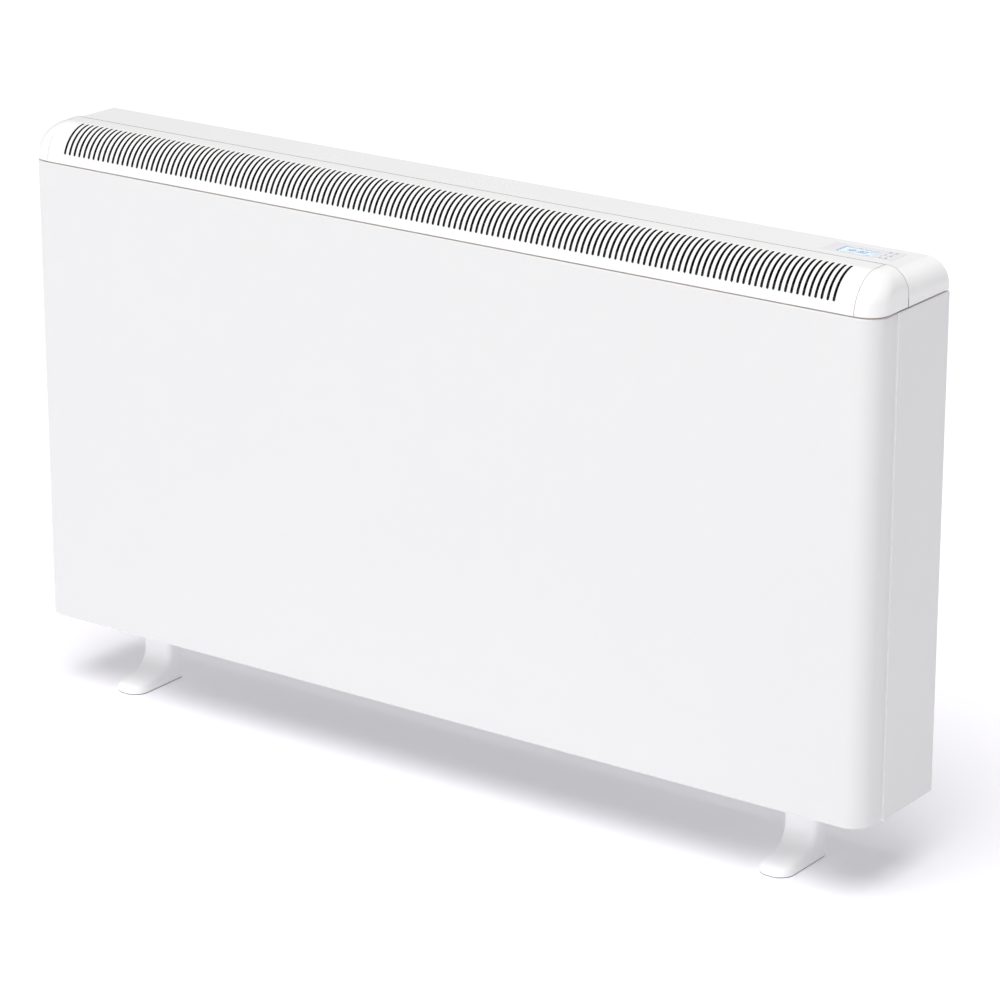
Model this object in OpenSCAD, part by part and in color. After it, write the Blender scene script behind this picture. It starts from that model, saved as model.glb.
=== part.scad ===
// Storage heater: a slim brick-core heater with a quarter-round air grille, a top cover
// one step lower behind it, a small control panel and two floor feet.
// Lengths are millimetres. +Z is up, the front faces -Y and the floor is z = 0.

/* [Case] */
// Overall width
case_w = 1185; // [1100:5:1300]
// Overall depth
case_d = 150; // [146:1:170]
// Height of the front and side panels
panel_h = 580; // [540:5:660]
// Gap under the case, from the floor to the panels
foot_h = 85; // [75:1:110]
// Thickness of the sheet steel
sheet_t = 1.2; // [0.8:0.1:1.5]
// Radius of the front panel's upright edges
corner_r = 26; // [20:1:30]
// How far the front panel wraps round the sides
wrap_d = 45; // [40:1:55]
// How far the side panels stand proud of that wrap
side_step = 2.2; // [1:0.1:2.4]
// Width of the folded flanges
flange_w = 12; // [10:1:14]
// Shadow gap between the panels and the cap
seam_gap = 1.5; // [1:0.1:2.5]
// How far the rear panel is set in from the wall side
rear_inset = 3; // [2.6:0.1:5]

/* [Cap] */
// Radius of the quarter-round nose, which is also the cap's rise
nose_r = 44; // [41:1:48]
// Depth of the grille, nose and flat together
grille_d = 65; // [62:1:70]
// Step from the grille's flat top down to the top cover
cover_step = 8; // [5:0.5:9]
// Fall of the top cover from the step to the wall
rear_drop = 1; // [0.5:0.5:3]
// Rounding of the cap's two ends
end_r = 28; // [24:1:31]
// Rounding of the top cover's left end
left_r = 8; // [5:1:12]
// Flat left between that rounding and the end cap's joint
joint_inset = 2; // [1:0.5:5]
// Wall of the cap's mouldings
skin_t = 2.5; // [2:0.1:3]
// Groove between the grille and the top cover
groove_w = 0.8; // [0.4:0.1:0.9]
// Fitting clearance between mouldings
fit_gap = 0.3; // [0.2:0.05:0.5]
// Width of the ledge and the spigots that carry the grille
ledge_d = 10; // [6:1:14]

/* [Grille slots] */
// Distance from one slot to the next
slot_pitch = 7.5; // [6:0.5:10]
// Width of a slot
slot_w = 3.2; // [1.6:0.1:3.4]
// Least distance from an end cap's joint to the first slot
slot_margin = 26; // [20:1:40]
// Height of the slots' lower ends above the panel
slot_rise = 13; // [10:1:16]
// Distance of the slots' upper ends behind the front face
slot_back = 40; // [34:1:40]

/* [Core] */
// Depth of the warm-air channel behind the front panel
channel_d = 22; // [20:1:26]
// Depth of one half brick
brick_d = 36; // [32:1:38]
// Joint between neighbouring bricks
brick_gap = 0.4; // [0.2:0.1:0.8]
// Bricks in a row
brick_columns = 4; // [3:1:6]
// Thickness of the front insulation
front_ins_t = 20; // [15:1:22]
// Thickness of the end insulation
end_ins_t = 25; // [20:1:35]
// Thickness of the insulation above and below the core
deck_ins_t = 25; // [20:1:30]
// Height of the tray under the core
tray_h = 30; // [20:1:40]
// Free height between the core's lid and the top of the panels
plenum_h = 56; // [45:1:75]
// Air gap at the left end of the core
side_gap = 30; // [29:1:36]
// Width of the wiring chamber at the right end
chamber_w = 125; // [118:1:135]

/* [Elements] */
// Radius of an element's sheath
sheath_r = 4.25; // [3:0.25:5]
// Distance between an element's two legs
leg_gap = 50; // [40:1:60]
// Distance from the core's left end to the middle of the bend
bend_inset = 45; // [36:1:70]
// Room left round an element in the bricks
groove_gap = 0.5; // [0.3:0.1:0.9]
// Length of an element's cold end outside the partition
cold_end = 30; // [20:1:35]
// Length of a terminal pin
pin_len = 12; // [10:1:14]
// Radius of a terminal pin
pin_r = 2; // [1.7:0.1:2.4]
// Radius of the bush on a cold end
bush_r = 6.5; // [6:0.5:8]
// Radius of the booster's sheath
booster_r = 3.5; // [3:0.25:4]
// Height of the booster's lower leg above the base pan
booster_z = 60; // [45:1:90]
// Distance between the booster's two legs
booster_gap = 44; // [36:1:60]
// Distance from the partition to the booster's bend
booster_span = 960; // [800:5:980]

/* [Control panel] */
// Width of the fascia
fascia_w = 88; // [86:1:92]
// Thickness of the fascia
fascia_t = 1.2; // [0.8:0.1:1.4]
// Distance from the case's right end to the fascia
fascia_right = 46.5; // [42:0.5:48]
// Distance from the top cover's front edge to the fascia
fascia_front = 35.5; // [33:0.5:37]
// Distance from the fascia to the top cover's wall side
fascia_back = 11.5; // [11:0.5:13]
// Width of the display window
window_w = 43; // [38:1:45]
// Depth of the display window, as a share of the fascia's depth
window_share = 0.65; // [0.55:0.01:0.68]
// Distance from the fascia's left edge to the window
window_left = 16; // [14:0.5:17]
// Distance from the fascia's front edge to the window, as a share of the fascia's depth
window_start = 0.16; // [0.12:0.01:0.18]
// Width of a key
key_w = 5; // [4:0.1:5.2]
// Depth of a key, as a share of the distance between the rows
key_share = 0.62; // [0.5:0.01:0.64]
// Distance between the two columns of keys
key_pitch_x = 7.5; // [7.4:0.1:8]
// Distance between the three rows of keys, as a share of the fascia's depth
key_row_share = 0.31; // [0.3:0.001:0.32]
// Distance from the fascia's left edge to the first column
key_left = 68.5; // [68:0.5:70]
// Distance from the fascia's front edge to the first row, as a share of the fascia's depth
key_start = 0.21; // [0.2:0.01:0.22]
// Height of a key above the fascia
key_proud = 0.9; // [0.8:0.1:1.6]
// Travel of a key
key_travel = 0.7; // [0.4:0.1:0.7]
// Depth of the board's face below the top cover's surface
board_drop = 9; // [8.5:0.1:11]
// Thickness of the circuit boards
board_t = 1.6; // [1:0.1:2]
// Height of a key switch
switch_h = 3.5; // [3:0.1:3.8]

/* [Feet] */
// Distance from the case's end to the middle of a foot
foot_inset = 121.5; // [95:0.5:190]
// Width of a foot
foot_w = 43; // [41:1:50]
// Distance from the case's front to the toe
toe_front = 6.5; // [0:0.5:15]
// Distance from the case's front to the heel
heel_back = 91; // [89:1:100]
// Distance from the case's front to the upright's front face
post_front = 68; // [60:1:70]
// Height of the toe where the sweep ends
toe_h = 11; // [8:0.5:13]
// Fall of the toe towards its tip, in degrees
toe_slope = 4; // [0:0.5:8]
// Radius of the sweep from the upright to the toe
sweep_r = 27; // [20:1:32]
// Radius of the toe, seen from above
toe_r = 19; // [15:0.5:20]
// Wall of the foot's moulding
foot_wall = 3; // [2.5:0.5:4]
// Thickness of the rubber sole
sole_t = 1.2; // [0.8:0.1:2]

/* [Wall fixing] */
// Radius of the wall-fixing holes
wall_hole_r = 4.25; // [3:0.25:4.5]
// Distance from the case's ends to the wall-fixing holes
wall_hole_in = 21.5; // [20:0.5:23]
// Height of the lower wall-fixing holes above the case's underside
wall_hole_low = 115; // [100:5:150]
// Upright distance between the wall-fixing holes
wall_hole_rise = 380; // [300:5:400]

/* [Supply entry] */
// Radius of the cable gland's bore
gland_bore_r = 5; // [4:0.25:6]
// Length of the gland below the base pan
gland_drop = 18; // [14:1:22]
// Distance from the wiring chamber's wall to the gland
gland_side = 75; // [40:1:95]
// Distance from the rear panel to the gland
gland_in = 36; // [24:1:60]

/* [Hidden] */
$fn = 48;
cut = 1;                              // how far a cutting solid overshoots
hair = 0.3;                           // clearance that leaves a part free to be fitted
half_w = case_w / 2;
front_y = -case_d / 2;
wall_y = case_d / 2;
seam_z = foot_h + panel_h;
crown_z = seam_z + nose_r;
wrap_x = half_w - side_step;          // outside of the front panel's wrap
wrap_y = front_y + wrap_d;
rear_in = wall_y - rear_inset - sheet_t;
rear_out = rear_in + sheet_t;
flange_x = half_w - flange_w;
base_top = foot_h + 2 * sheet_t;      // the base pan lies on the panels' flanges

nose_y = front_y + nose_r;            // axis of the quarter-round nose
joint_x = half_w - end_r - joint_inset;
grille_y = front_y + grille_d;
cover_y = grille_y + groove_w;
cover_z = crown_z - cover_step;       // the top cover's front edge
slope = atan(rear_drop / (wall_y - cover_y));
skirt_h = seam_gap + 5;
slot_count = floor((2 * joint_x - 2 * slot_margin) / slot_pitch) + 1;
slot_low_a = asin(slot_rise / nose_r);
slot_high_a = acos((nose_r - slot_back) / nose_r);
slot_end_a = asin(slot_w / 2 / nose_r);

shield_y = front_y + channel_d;
box_y = [shield_y + sheet_t, rear_in];            // inside the core's casing
part_l = -(half_w - sheet_t - side_gap);          // outer face of the left partition
part_r = half_w - sheet_t - chamber_w;            // outer face of the right partition
box_x = [part_l + sheet_t, part_r - sheet_t];
core_x = [box_x[0] + end_ins_t, box_x[1] - end_ins_t];
core_y = [box_y[0] + front_ins_t, box_y[0] + front_ins_t + 2 * brick_d];
mid_y = core_y[0] + brick_d;
tray_z = base_top + tray_h;
lid_z = seam_z - plenum_h - sheet_t;
core_z = [tray_z + deck_ins_t, lid_z - deck_ins_t];
layers = 4;
layer_h = (core_z[1] - core_z[0]) / layers;
brick_l = (core_x[1] - core_x[0]) / brick_columns;
cold_x = part_r + cold_end;
pin_x = cold_x + pin_len;
bush_l = 8;
probe_r = 3;
probe_layer = 3;
probe_depth = 120;
probe_head_l = 10;
booster_y = front_y + sheet_t + 10;

fascia_x = half_w - fascia_right - fascia_w;
fascia_d = norm([wall_y - cover_y, rear_drop]) - fascia_front - fascia_back;
window_x = fascia_x + window_left;
window_y = fascia_front + window_start * fascia_d;
window_d = window_share * fascia_d;
key_pitch_y = key_row_share * fascia_d;
key_d = key_share * key_pitch_y;
key_front = key_start * fascia_d;
lens_rim = 2;                          // how far the lens reaches past the window
key_rim = 1;                           // how far a key's flange reaches past its head
key_fit = 0.35;                        // gap round a key in its hole
key_lift = 0.2;                        // gap between a key's flange and the cover at rest
key_flange_t = 1.2;
key_stem_r = 1.6;
key_well_r = 1.9;
switch_w = 6;
switch_floor = 0.8;                    // solid left under a switch's well
key_columns = 2;
key_rows = 3;
board_x = [fascia_x - 1, fascia_x + fascia_w + 4];
board_y = [fascia_front + 2, fascia_front + fascia_d - 2];
boss_in = 4.5;
boss_r = 3.5;
screw_r = 1.5;
plug_w = 20;                           // socket under the control board
plug_d = 6;
plug_h = 7;
plug_y = (board_y[0] + board_y[1]) / 2;
plug_x = (board_x[0] + board_x[1]) / 2;

foot_x = half_w - foot_inset;
foot_top = foot_h + sheet_t;
foot_head = 14;                        // solid left at the top, for the screws
foot_screw_x = 11;
foot_screw_r = 2;
foot_screw_y = front_y + (post_front + heel_back) / 2;
foot_screw_l = 10;

gland_x = part_r + gland_side;
gland_y = rear_in - gland_in;
gland_r = 10;
gland_flange_r = 13;
gland_flange_h = 5;
lock_h = 5;

power_h = 170;
power_gap = 3;                         // gap between the power board and the rear panel
power_y = [mid_y + 20, rear_in - power_gap];
power_low = (core_z[0] + core_z[1] - power_h) / 2;
power_z = [power_low, power_low + power_h];
pillar_h = 8;
pillar_in = [5, 18];                   // pillars from the power board's edges
pillar_r = 3;
power_x = part_r + pillar_h;
relay_h = 28;
relay_w = 20;
relay_t = 16;
relay_gap = 8;
relay_low = 30;
capacitor_r = 7;
capacitor_l = 20;
capacitor_low = 115;
connector_t = 12;
connector_w = 26;
connector_h = 12;
term_side = 75;
term_x = part_r + term_side;
term_w = 54;
term_d = 16;
term_h = 24;
term_z = base_top + 40;
cut_in = 29;                           // cut-out in front of the elements
cut_down = 40;                         // cut-out below the top of the core
cut_y = mid_y - cut_in;
cut_z = core_z[1] - cut_down;
cut_r = 8;
cut_h = 12;
reset_r = 1.75;
reset_travel = 1.5;
reset_flange_t = 1.5;
reset_lift = 0.2;
reset_neck = 2;
reset_proud = 3.5;
wire_r = 1.6;

// ---------- helpers ----------

// A box between two corners, each range given as [low, high].
module block(x, y, z) {
    translate([x[0], y[0], z[0]]) cube([x[1] - x[0], y[1] - y[0], z[1] - z[0]]);
}

// Round bars along one axis.
module bar_x(x, y, z, r) {
    translate([x[0], y, z]) rotate([0, 90, 0]) cylinder(r = r, h = x[1] - x[0]);
}
module bar_y(x, y, z, r) {
    translate([x, y[0], z]) rotate([-90, 0, 0]) cylinder(r = r, h = y[1] - y[0]);
}
module bar_z(x, y, z, r) {
    translate([x, y, z[0]]) cylinder(r = r, h = z[1] - z[0]);
}

// Insulated wire through a list of points.
module wire(points) {
    for (i = [0 : len(points) - 2]) {
        step = points[i + 1] - points[i];
        translate(points[i])
            rotate([0, acos(step[2] / norm(step)), atan2(step[1], step[0])])
                cylinder(r = wire_r, h = norm(step));
    }
    for (i = [1 : 1 : len(points) - 2]) translate(points[i]) sphere(r = 1.04 * wire_r);
}

// Local frame on the top cover: y runs down the slope to the wall, z = 0 is its surface.
module on_cover() {
    translate([0, cover_y, cover_z]) rotate([-slope, 0, 0]) children();
}
function cover_point(x, y, z) = [
    x,
    cover_y + y * cos(slope) + z * sin(slope),
    cover_z - y * sin(slope) + z * cos(slope)
];

// ---------- case ----------

// The plan of the front panel as a solid, drawn in by inset; it may run on past the wrap.
module wrap_solid(inset, z, past = 0) {
    r = corner_r - inset;
    block([-wrap_x + corner_r, wrap_x - corner_r], [front_y + inset, wrap_y + past], z);
    block([-wrap_x + inset, wrap_x - inset], [front_y + corner_r, wrap_y + past], z);
    intersection() {
        for (side = [-1, 1]) bar_z(side * (wrap_x - corner_r), front_y + corner_r, z, r);
        block([-half_w, half_w], [front_y - cut, front_y + corner_r], z);
    }
}

module front_panel() {
    color("white") difference() {
        wrap_solid(0, [foot_h, seam_z]);
        wrap_solid(sheet_t, [foot_h + sheet_t, seam_z - sheet_t], cut);
        wrap_solid(flange_w, [foot_h - cut, seam_z + cut], cut);
        panel_screw_holes();
    }
}

panel_screw_y = front_y + flange_w / 2 + 1;
panel_screw_x = [-420, -140, 140, 420];

module panel_screw_holes() {
    for (x = panel_screw_x)
        bar_z(x, panel_screw_y, [foot_h - cut, base_top + cut], screw_r + hair / 2);
}

function rear_screw_z() = [for (i = [0 : 4]) foot_h + 40 + i * (panel_h - 80) / 4];
rear_screw_x = flange_x + (flange_w - sheet_t) / 2;

module rear_screw_holes(r) {
    for (side = [-1, 1], z = rear_screw_z())
        bar_y(side * rear_screw_x, [rear_in - 2 * cut - sheet_t, rear_out + cut], z, r);
}

module side_panel() {
    inner = [flange_x, half_w - sheet_t];
    color("gainsboro") difference() {
        union() {
            block([half_w - sheet_t, half_w], [wrap_y, wall_y], [foot_h, seam_z]);
            block(inner, [wrap_y, wrap_y + sheet_t], [foot_h, seam_z]);
            block(inner, [rear_in - sheet_t, rear_in], [foot_h, seam_z]);
            block(inner, [wrap_y, rear_in], [foot_h, foot_h + sheet_t]);
            block(inner, [wrap_y, rear_in], [seam_z - sheet_t, seam_z]);
        }
        rear_screw_holes(screw_r + hair / 2);
    }
}

vent_w = 3;
vent_l = 44;
vent_count = 9;
vent_pitch = 9;
rib_w = 14;
rib_rise = 1.4;
rib_count = 6;

module rear_panel() {
    span = part_r - part_l;
    color("silver") difference() {
        union() {
            block([-half_w + sheet_t, half_w - sheet_t], [rear_in, rear_out], [foot_h, seam_z]);
            for (z = [foot_h, seam_z - sheet_t])
                block([-flange_x, flange_x], [rear_in - flange_w, rear_in], [z, z + sheet_t]);
            for (i = [0 : rib_count - 1])
                let (x = part_l + span * (i + 0.5) / rib_count)
                    block([x - rib_w / 2, x + rib_w / 2], [rear_out, rear_out + rib_rise],
                          [foot_h + 50, seam_z - 50]);
        }
        for (side = [-1, 1], z = [wall_hole_low, wall_hole_low + wall_hole_rise])
            bar_y(side * (half_w - wall_hole_in), [rear_in - cut, rear_out + cut],
                  foot_h + z, wall_hole_r);
        rear_screw_holes(screw_r + hair / 2);
        for (i = [0 : vent_count - 1])
            let (z = seam_z - 150 + i * vent_pitch, x = part_r + 36)
                block([x - vent_l / 2, x + vent_l / 2], [rear_in - cut, rear_out + cut],
                      [z, z + vent_w]);
    }
}

inlet_w = 3.5;
inlet_l = 40;
inlet_pitch = 52;
inlet_y = [front_y + flange_w + 2.2, front_y + flange_w + 7.4];

module base_pan() {
    z = [foot_h + sheet_t, base_top];
    inlet_count = floor((part_r - part_l - inlet_l) / inlet_pitch);
    color("silver") difference() {
        union() {
            wrap_solid(sheet_t, z);
            block([-flange_x, flange_x], [wrap_y - cut, rear_in], z);
            block([-half_w + sheet_t, half_w - sheet_t],
                  [wrap_y + sheet_t, rear_in - sheet_t], z);
        }
        for (i = [0 : inlet_count], y = inlet_y)
            let (x = part_l + inlet_l + i * inlet_pitch)
                block([x - inlet_l / 2, x + inlet_l / 2], [y - inlet_w / 2, y + inlet_w / 2],
                      [z[0] - cut, z[1] + cut]);
        panel_screw_holes();
        for (side = [-1, 1], x = [-foot_screw_x, foot_screw_x])
            bar_z(side * foot_x + x, foot_screw_y, [z[0] - cut, z[1] + cut],
                  foot_screw_r + hair);
        bar_z(gland_x, gland_y, [z[0] - cut, z[1] + cut], gland_r + hair / 2);
    }
}

module case_screws() {
    color("gray") {
        for (side = [-1, 1], z = rear_screw_z()) {
            bar_y(side * rear_screw_x, [rear_out, rear_out + 2], z, 2 * screw_r);
            bar_y(side * rear_screw_x, [rear_in - sheet_t - 2, rear_out], z, screw_r);
        }
        for (x = panel_screw_x) {
            bar_z(x, panel_screw_y, [foot_h - 2, foot_h], 2 * screw_r);
            bar_z(x, panel_screw_y, [foot_h, base_top + 3], screw_r);
        }
    }
}

// ---------- cap ----------

// Quarter-round nose and flat top along x, drawn in by inset.
module nose_solid(x, inset, z0, back) {
    intersection() {
        union() {
            bar_x(x, nose_y, seam_z, nose_r - inset);
            block(x, [nose_y, back], [seam_z - cut, crown_z - inset]);
        }
        block(x, [front_y - cut, back], [z0, crown_z + cut]);
    }
}

// One slot through the nose: a wedge about the nose's axis with round ends.
module grille_slot(x) {
    low = slot_low_a + slot_end_a;
    high = slot_high_a - slot_end_a;
    reach = nose_r + 8;
    translate([x, nose_y, seam_z]) {
        translate([-slot_w / 2, 0, 0]) rotate([90, 0, 90]) linear_extrude(slot_w)
            polygon([[0, 0], for (i = [0 : 4])
                let (a = low + (high - low) * i / 4) [-reach * cos(a), reach * sin(a)]]);
        for (a = [low, high])
            rotate([90 - a, 0, 0]) translate([0, 0, nose_r - 2 * skin_t])
                cylinder(r = slot_w / 2, h = 4 * skin_t);
    }
}

module air_grille() {
    x = [-joint_x, joint_x];
    foot_y = front_y + skin_t;
    color("white") difference() {
        union() {
            difference() {
                nose_solid(x, 0, seam_z + seam_gap, grille_y);
                nose_solid([x[0] - cut, x[1] + cut], skin_t, seam_z - cut, grille_y + cut);
            }
            block(x, [grille_y - skin_t, grille_y], [cover_z - skin_t, crown_z - skin_t / 2]);
            block([x[0] + ledge_d + 4, x[1] - ledge_d - 4], [foot_y - 0.5, foot_y + skin_t],
                  [seam_z, seam_z + skirt_h]);
        }
        for (i = [0 : slot_count - 1])
            grille_slot((i - (slot_count - 1) / 2) * slot_pitch);
    }
}

// Plan of an end cap at height h above the seam, drawn in by inset, as a ring of points.
cap_arc = 10;
cap_rings = 16;
function nose_in(h, inset) = nose_r - sqrt(max((nose_r - inset) ^ 2 - h ^ 2, 0));
function end_in(h, inset) = let (low = nose_r - end_r)
    h < low ? inset : end_r - sqrt(max((end_r - inset) ^ 2 - (h - low) ^ 2, 0));
function cap_ring(h, inset, x0, y1) =
    let (f = nose_in(h, inset), s = end_in(h, inset),
         x1 = half_w - s, y0 = front_y + f,
         rx = min(corner_r - inset, x1 - joint_x),
         ry = min(corner_r - inset, grille_y - y0 - 1))
    concat([[x0, y1], [x0, y0]],
           [for (i = [0 : cap_arc]) let (a = 90 * i / cap_arc)
               [x1 - rx + rx * sin(a), y0 + ry - ry * cos(a)]],
           [[x1, y1]]);

// Heights of the rings, closer together towards the crown.
function cap_heights(low, high) =
    [for (i = [0 : cap_rings]) low + (high - low) * sin(90 * i / cap_rings)];

module cap_loft(heights, inset, x0, y1) {
    rings = [for (h = heights) [for (p = cap_ring(max(h, 0), inset, x0, y1))
        [p[0], p[1], seam_z + h]]];
    n = len(rings[0]);
    last = len(rings) - 1;
    polyhedron(
        points = [for (ring = rings) each ring],
        faces = concat(
            [[for (i = [0 : n - 1]) i]],
            [for (k = [0 : last - 1], i = [0 : n - 1], half = [0, 1])
                let (a = k * n + i, b = k * n + (i + 1) % n)
                    half == 0 ? [a, a + n, b] : [b, a + n, b + n]],
            [[for (i = [n - 1 : -1 : 0]) last * n + i]]));
}

module end_cap() {
    spigot = [nose_r - skin_t - fit_gap - 2, nose_r - skin_t - fit_gap];
    foot_y = front_y + skin_t;
    color("white") union() {
        difference() {
            cap_loft(cap_heights(seam_gap, nose_r), 0, joint_x, grille_y);
            cap_loft(cap_heights(-cut, nose_r - skin_t - 0.01), skin_t, joint_x - cut,
                     grille_y - skin_t);
        }
        intersection() {
            difference() {
                bar_x([joint_x - ledge_d, joint_x + 1.5], nose_y, seam_z, nose_r - skin_t + 0.6);
                bar_x([joint_x - ledge_d - cut, joint_x], nose_y, seam_z,
                      nose_r - skin_t + 2 * cut);
            }
            block([joint_x - ledge_d, joint_x + 1.5], [front_y, nose_y],
                  [seam_z + skirt_h, crown_z]);
        }
        intersection() {
            difference() {
                bar_x([joint_x - ledge_d, joint_x + 1.5], nose_y, seam_z, spigot[1]);
                bar_x([joint_x - ledge_d - cut, joint_x + 1.5 + cut], nose_y, seam_z,
                      spigot[0]);
            }
            block([joint_x - ledge_d, joint_x + 1.5], [front_y, nose_y],
                  [seam_z + skirt_h, crown_z]);
        }
        block([joint_x, half_w - corner_r], [foot_y - 0.5, foot_y + skin_t],
              [seam_z, seam_z + skirt_h]);
    }
}

// Solid of the top cover with rounded ends, in the cover's own frame, drawn in by inset.
module cover_solid(inset) {
    run = [-nose_r, case_d];
    deep = -3 * nose_r;
    on_cover() {
        block([-half_w + left_r, half_w - end_r], run, [deep, -inset]);
        for (end = [[-1, left_r], [1, end_r]]) let (side = end[0], r = end[1]) {
            block([min(0, side * (half_w - inset)), max(0, side * (half_w - inset))], run,
                  [deep, -r]);
            translate([side * (half_w - r), run[0], -r]) rotate([-90, 0, 0])
                cylinder(r = r - inset, h = run[1] - run[0]);
        }
    }
}

module key_places() {
    for (column = [0 : key_columns - 1], row = [0 : key_rows - 1])
        translate([fascia_x + key_left + column * key_pitch_x,
                   fascia_front + key_front + row * key_pitch_y, 0]) children();
}

module boss_places() {
    for (x = [board_x[0] + boss_in, board_x[1] - boss_in],
         y = [board_y[0] + boss_in, board_y[1] - boss_in])
        translate([x, y, 0]) children();
}

// A rectangle of the window's proportions, grown by rim on each side.
module window_block(rim, z) {
    block([window_x - rim, window_x + window_w + rim],
          [window_y - rim, window_y + window_d + rim], z);
}

module top_cover() {
    skirt_in = skin_t + 2;
    color("whitesmoke") difference() {
        union() {
            difference() {
                intersection() {
                    cover_solid(0);
                    block([-half_w, half_w], [cover_y, wall_y],
                          [seam_z + seam_gap, crown_z + cut]);
                }
                intersection() {
                    cover_solid(skin_t);
                    block([-half_w, half_w], [cover_y + skin_t, wall_y - skin_t],
                          [seam_z - cut, crown_z + cut]);
                }
            }
            block([-joint_x + 2, joint_x - 2], [grille_y - ledge_d, cover_y + skin_t],
                  [cover_z - 2 * skin_t, cover_z - skin_t]);
            for (side = [0, 1]) mirror([side, 0, 0])
                block([half_w - skirt_in, half_w - skin_t / 2],
                      [cover_y, rear_in - sheet_t], [seam_z, seam_z + skirt_h]);
            block([-flange_x, flange_x], [rear_in - skirt_in, wall_y - skin_t / 2],
                  [seam_z + seam_gap, seam_z + skirt_h]);
            block([-flange_x, flange_x], [rear_in - skirt_in, rear_in],
                  [seam_z, seam_z + skirt_h]);
            on_cover() boss_places()
                bar_z(0, 0, [-board_drop, -skin_t / 2], boss_r);
        }
        on_cover() {
            block([fascia_x - fit_gap, fascia_x + fascia_w + fit_gap],
                  [fascia_front - fit_gap, fascia_front + fascia_d + fit_gap],
                  [-fascia_t, cut]);
            window_block(lens_rim + fit_gap, [-skin_t - cut, cut]);
            key_places() key_block(key_fit, [-skin_t - cut, cut]);
            boss_places() bar_z(0, 0, [-board_drop - cut, -skin_t], screw_r);
        }
    }
}

// ---------- control panel ----------

// A key's rectangle, grown by rim on each side.
module key_block(rim, z) {
    block([-key_w / 2 - rim, key_w / 2 + rim], [-key_d / 2 - rim, key_d / 2 + rim], z);
}

module control_fascia() {
    color("lavender") on_cover() difference() {
        block([fascia_x, fascia_x + fascia_w], [fascia_front, fascia_front + fascia_d],
              [-fascia_t, 0]);
        window_block(0, [-fascia_t - cut, cut]);
        key_places() key_block(key_fit, [-fascia_t - cut, cut]);
    }
}

module display_lens() {
    color("lightblue") on_cover() window_block(lens_rim, [-skin_t, -fascia_t]);
}

module display_module() {
    color("lightsteelblue") on_cover() window_block(lens_rim, [-board_drop, -skin_t]);
}

module control_board() {
    color("seagreen") on_cover() {
        difference() {
            block(board_x, board_y, [-board_drop - board_t, -board_drop]);
            boss_places()
                bar_z(0, 0, [-board_drop - board_t - cut, -board_drop + cut], screw_r + hair);
        }
        block([plug_x - plug_w / 2, plug_x + plug_w / 2], [plug_y - plug_d / 2, plug_y + plug_d / 2],
              [-board_drop - board_t - plug_h, -board_drop - board_t]);
    }
}

module board_screws() {
    under = -board_drop - board_t;
    color("gray") on_cover() boss_places() {
        bar_z(0, 0, [under - 2, under], 2 * screw_r);
        bar_z(0, 0, [under, -skin_t - 1], screw_r);
    }
}

module key_switches() {
    color("dimgray") on_cover() key_places() difference() {
        block([-switch_w / 2, switch_w / 2], [-switch_w / 2, switch_w / 2],
              [-board_drop, -board_drop + switch_h]);
        bar_z(0, 0, [-board_drop + switch_floor, -board_drop + switch_h + cut], key_well_r);
    }
}

// Keys run 1 to 3 up the left column, then 4 to 6 up the right one.
module key(number) {
    column = floor((number - 1) / key_rows);
    row = (number - 1) % key_rows;
    flange_z = -skin_t - key_lift;
    tip_z = -board_drop + switch_floor + key_travel + hair;
    color("darkgray") on_cover()
        translate([fascia_x + key_left + column * key_pitch_x,
                   fascia_front + key_front + row * key_pitch_y, 0]) {
            key_block(0, [flange_z, key_proud]);
            key_block(key_rim, [flange_z - key_flange_t, flange_z]);
            bar_z(0, 0, [tip_z, flange_z], key_stem_r);
        }
}

// ---------- feet ----------

// Plan of a foot with a round toe, drawn in by inset.
module foot_plan(inset, z) {
    toe_y = front_y + toe_front + toe_r;
    straight = foot_w / 2 - toe_r;
    block([-foot_w / 2 + inset, foot_w / 2 - inset], [toe_y, front_y + heel_back - inset], z);
    block([-straight, straight], [toe_y - toe_r + inset, toe_y], z);
    for (side = [-1, 1]) bar_z(side * straight, toe_y, z, toe_r - inset);
}

// Side view of a foot: upright, sweep and a toe that falls towards its tip.
module foot_side() {
    x = [-foot_w, foot_w];
    post_y = front_y + post_front;
    toe_z = sole_t + toe_h;
    block(x, [post_y, front_y + heel_back], [sole_t, foot_top]);
    difference() {
        block(x, [front_y + toe_front, post_y], [sole_t, toe_z + sweep_r]);
        translate([0, post_y - sweep_r, toe_z]) {
            bar_x([x[0] - cut, x[1] + cut], 0, sweep_r, sweep_r);
            rotate([toe_slope, 0, 0])
                block([x[0] - cut, x[1] + cut], [-2 * foot_w, 0], [0, foot_w]);
            block([x[0] - cut, x[1] + cut], [-2 * foot_w, 0], [sweep_r / 2, sweep_r + cut]);
        }
    }
}

module foot() {
    post_y = front_y + post_front;
    color("white") difference() {
        intersection() {
            foot_plan(0, [sole_t, foot_top]);
            foot_side();
        }
        intersection() {
            foot_plan(foot_wall, [sole_t - cut, foot_top - foot_head]);
            block([-foot_w, foot_w], [post_y + foot_wall, front_y + heel_back],
                  [sole_t - cut, foot_top - foot_head]);
        }
        for (x = [-foot_screw_x, foot_screw_x])
            bar_z(x, foot_screw_y, [foot_top - foot_screw_l - 1, foot_top + cut],
                  foot_screw_r);
    }
}

module foot_soles() {
    color("gray") for (side = [-1, 1]) translate([side * foot_x, 0, 0])
        foot_plan(0.5, [0, sole_t]);
}

module foot_screws() {
    color("gray") for (side = [-1, 1], x = [-foot_screw_x, foot_screw_x]) {
        bar_z(side * foot_x + x, foot_screw_y, [base_top, base_top + 3], 2 * foot_screw_r);
        bar_z(side * foot_x + x, foot_screw_y, [foot_top - foot_screw_l, base_top],
              foot_screw_r);
    }
}

// ---------- core ----------

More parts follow.
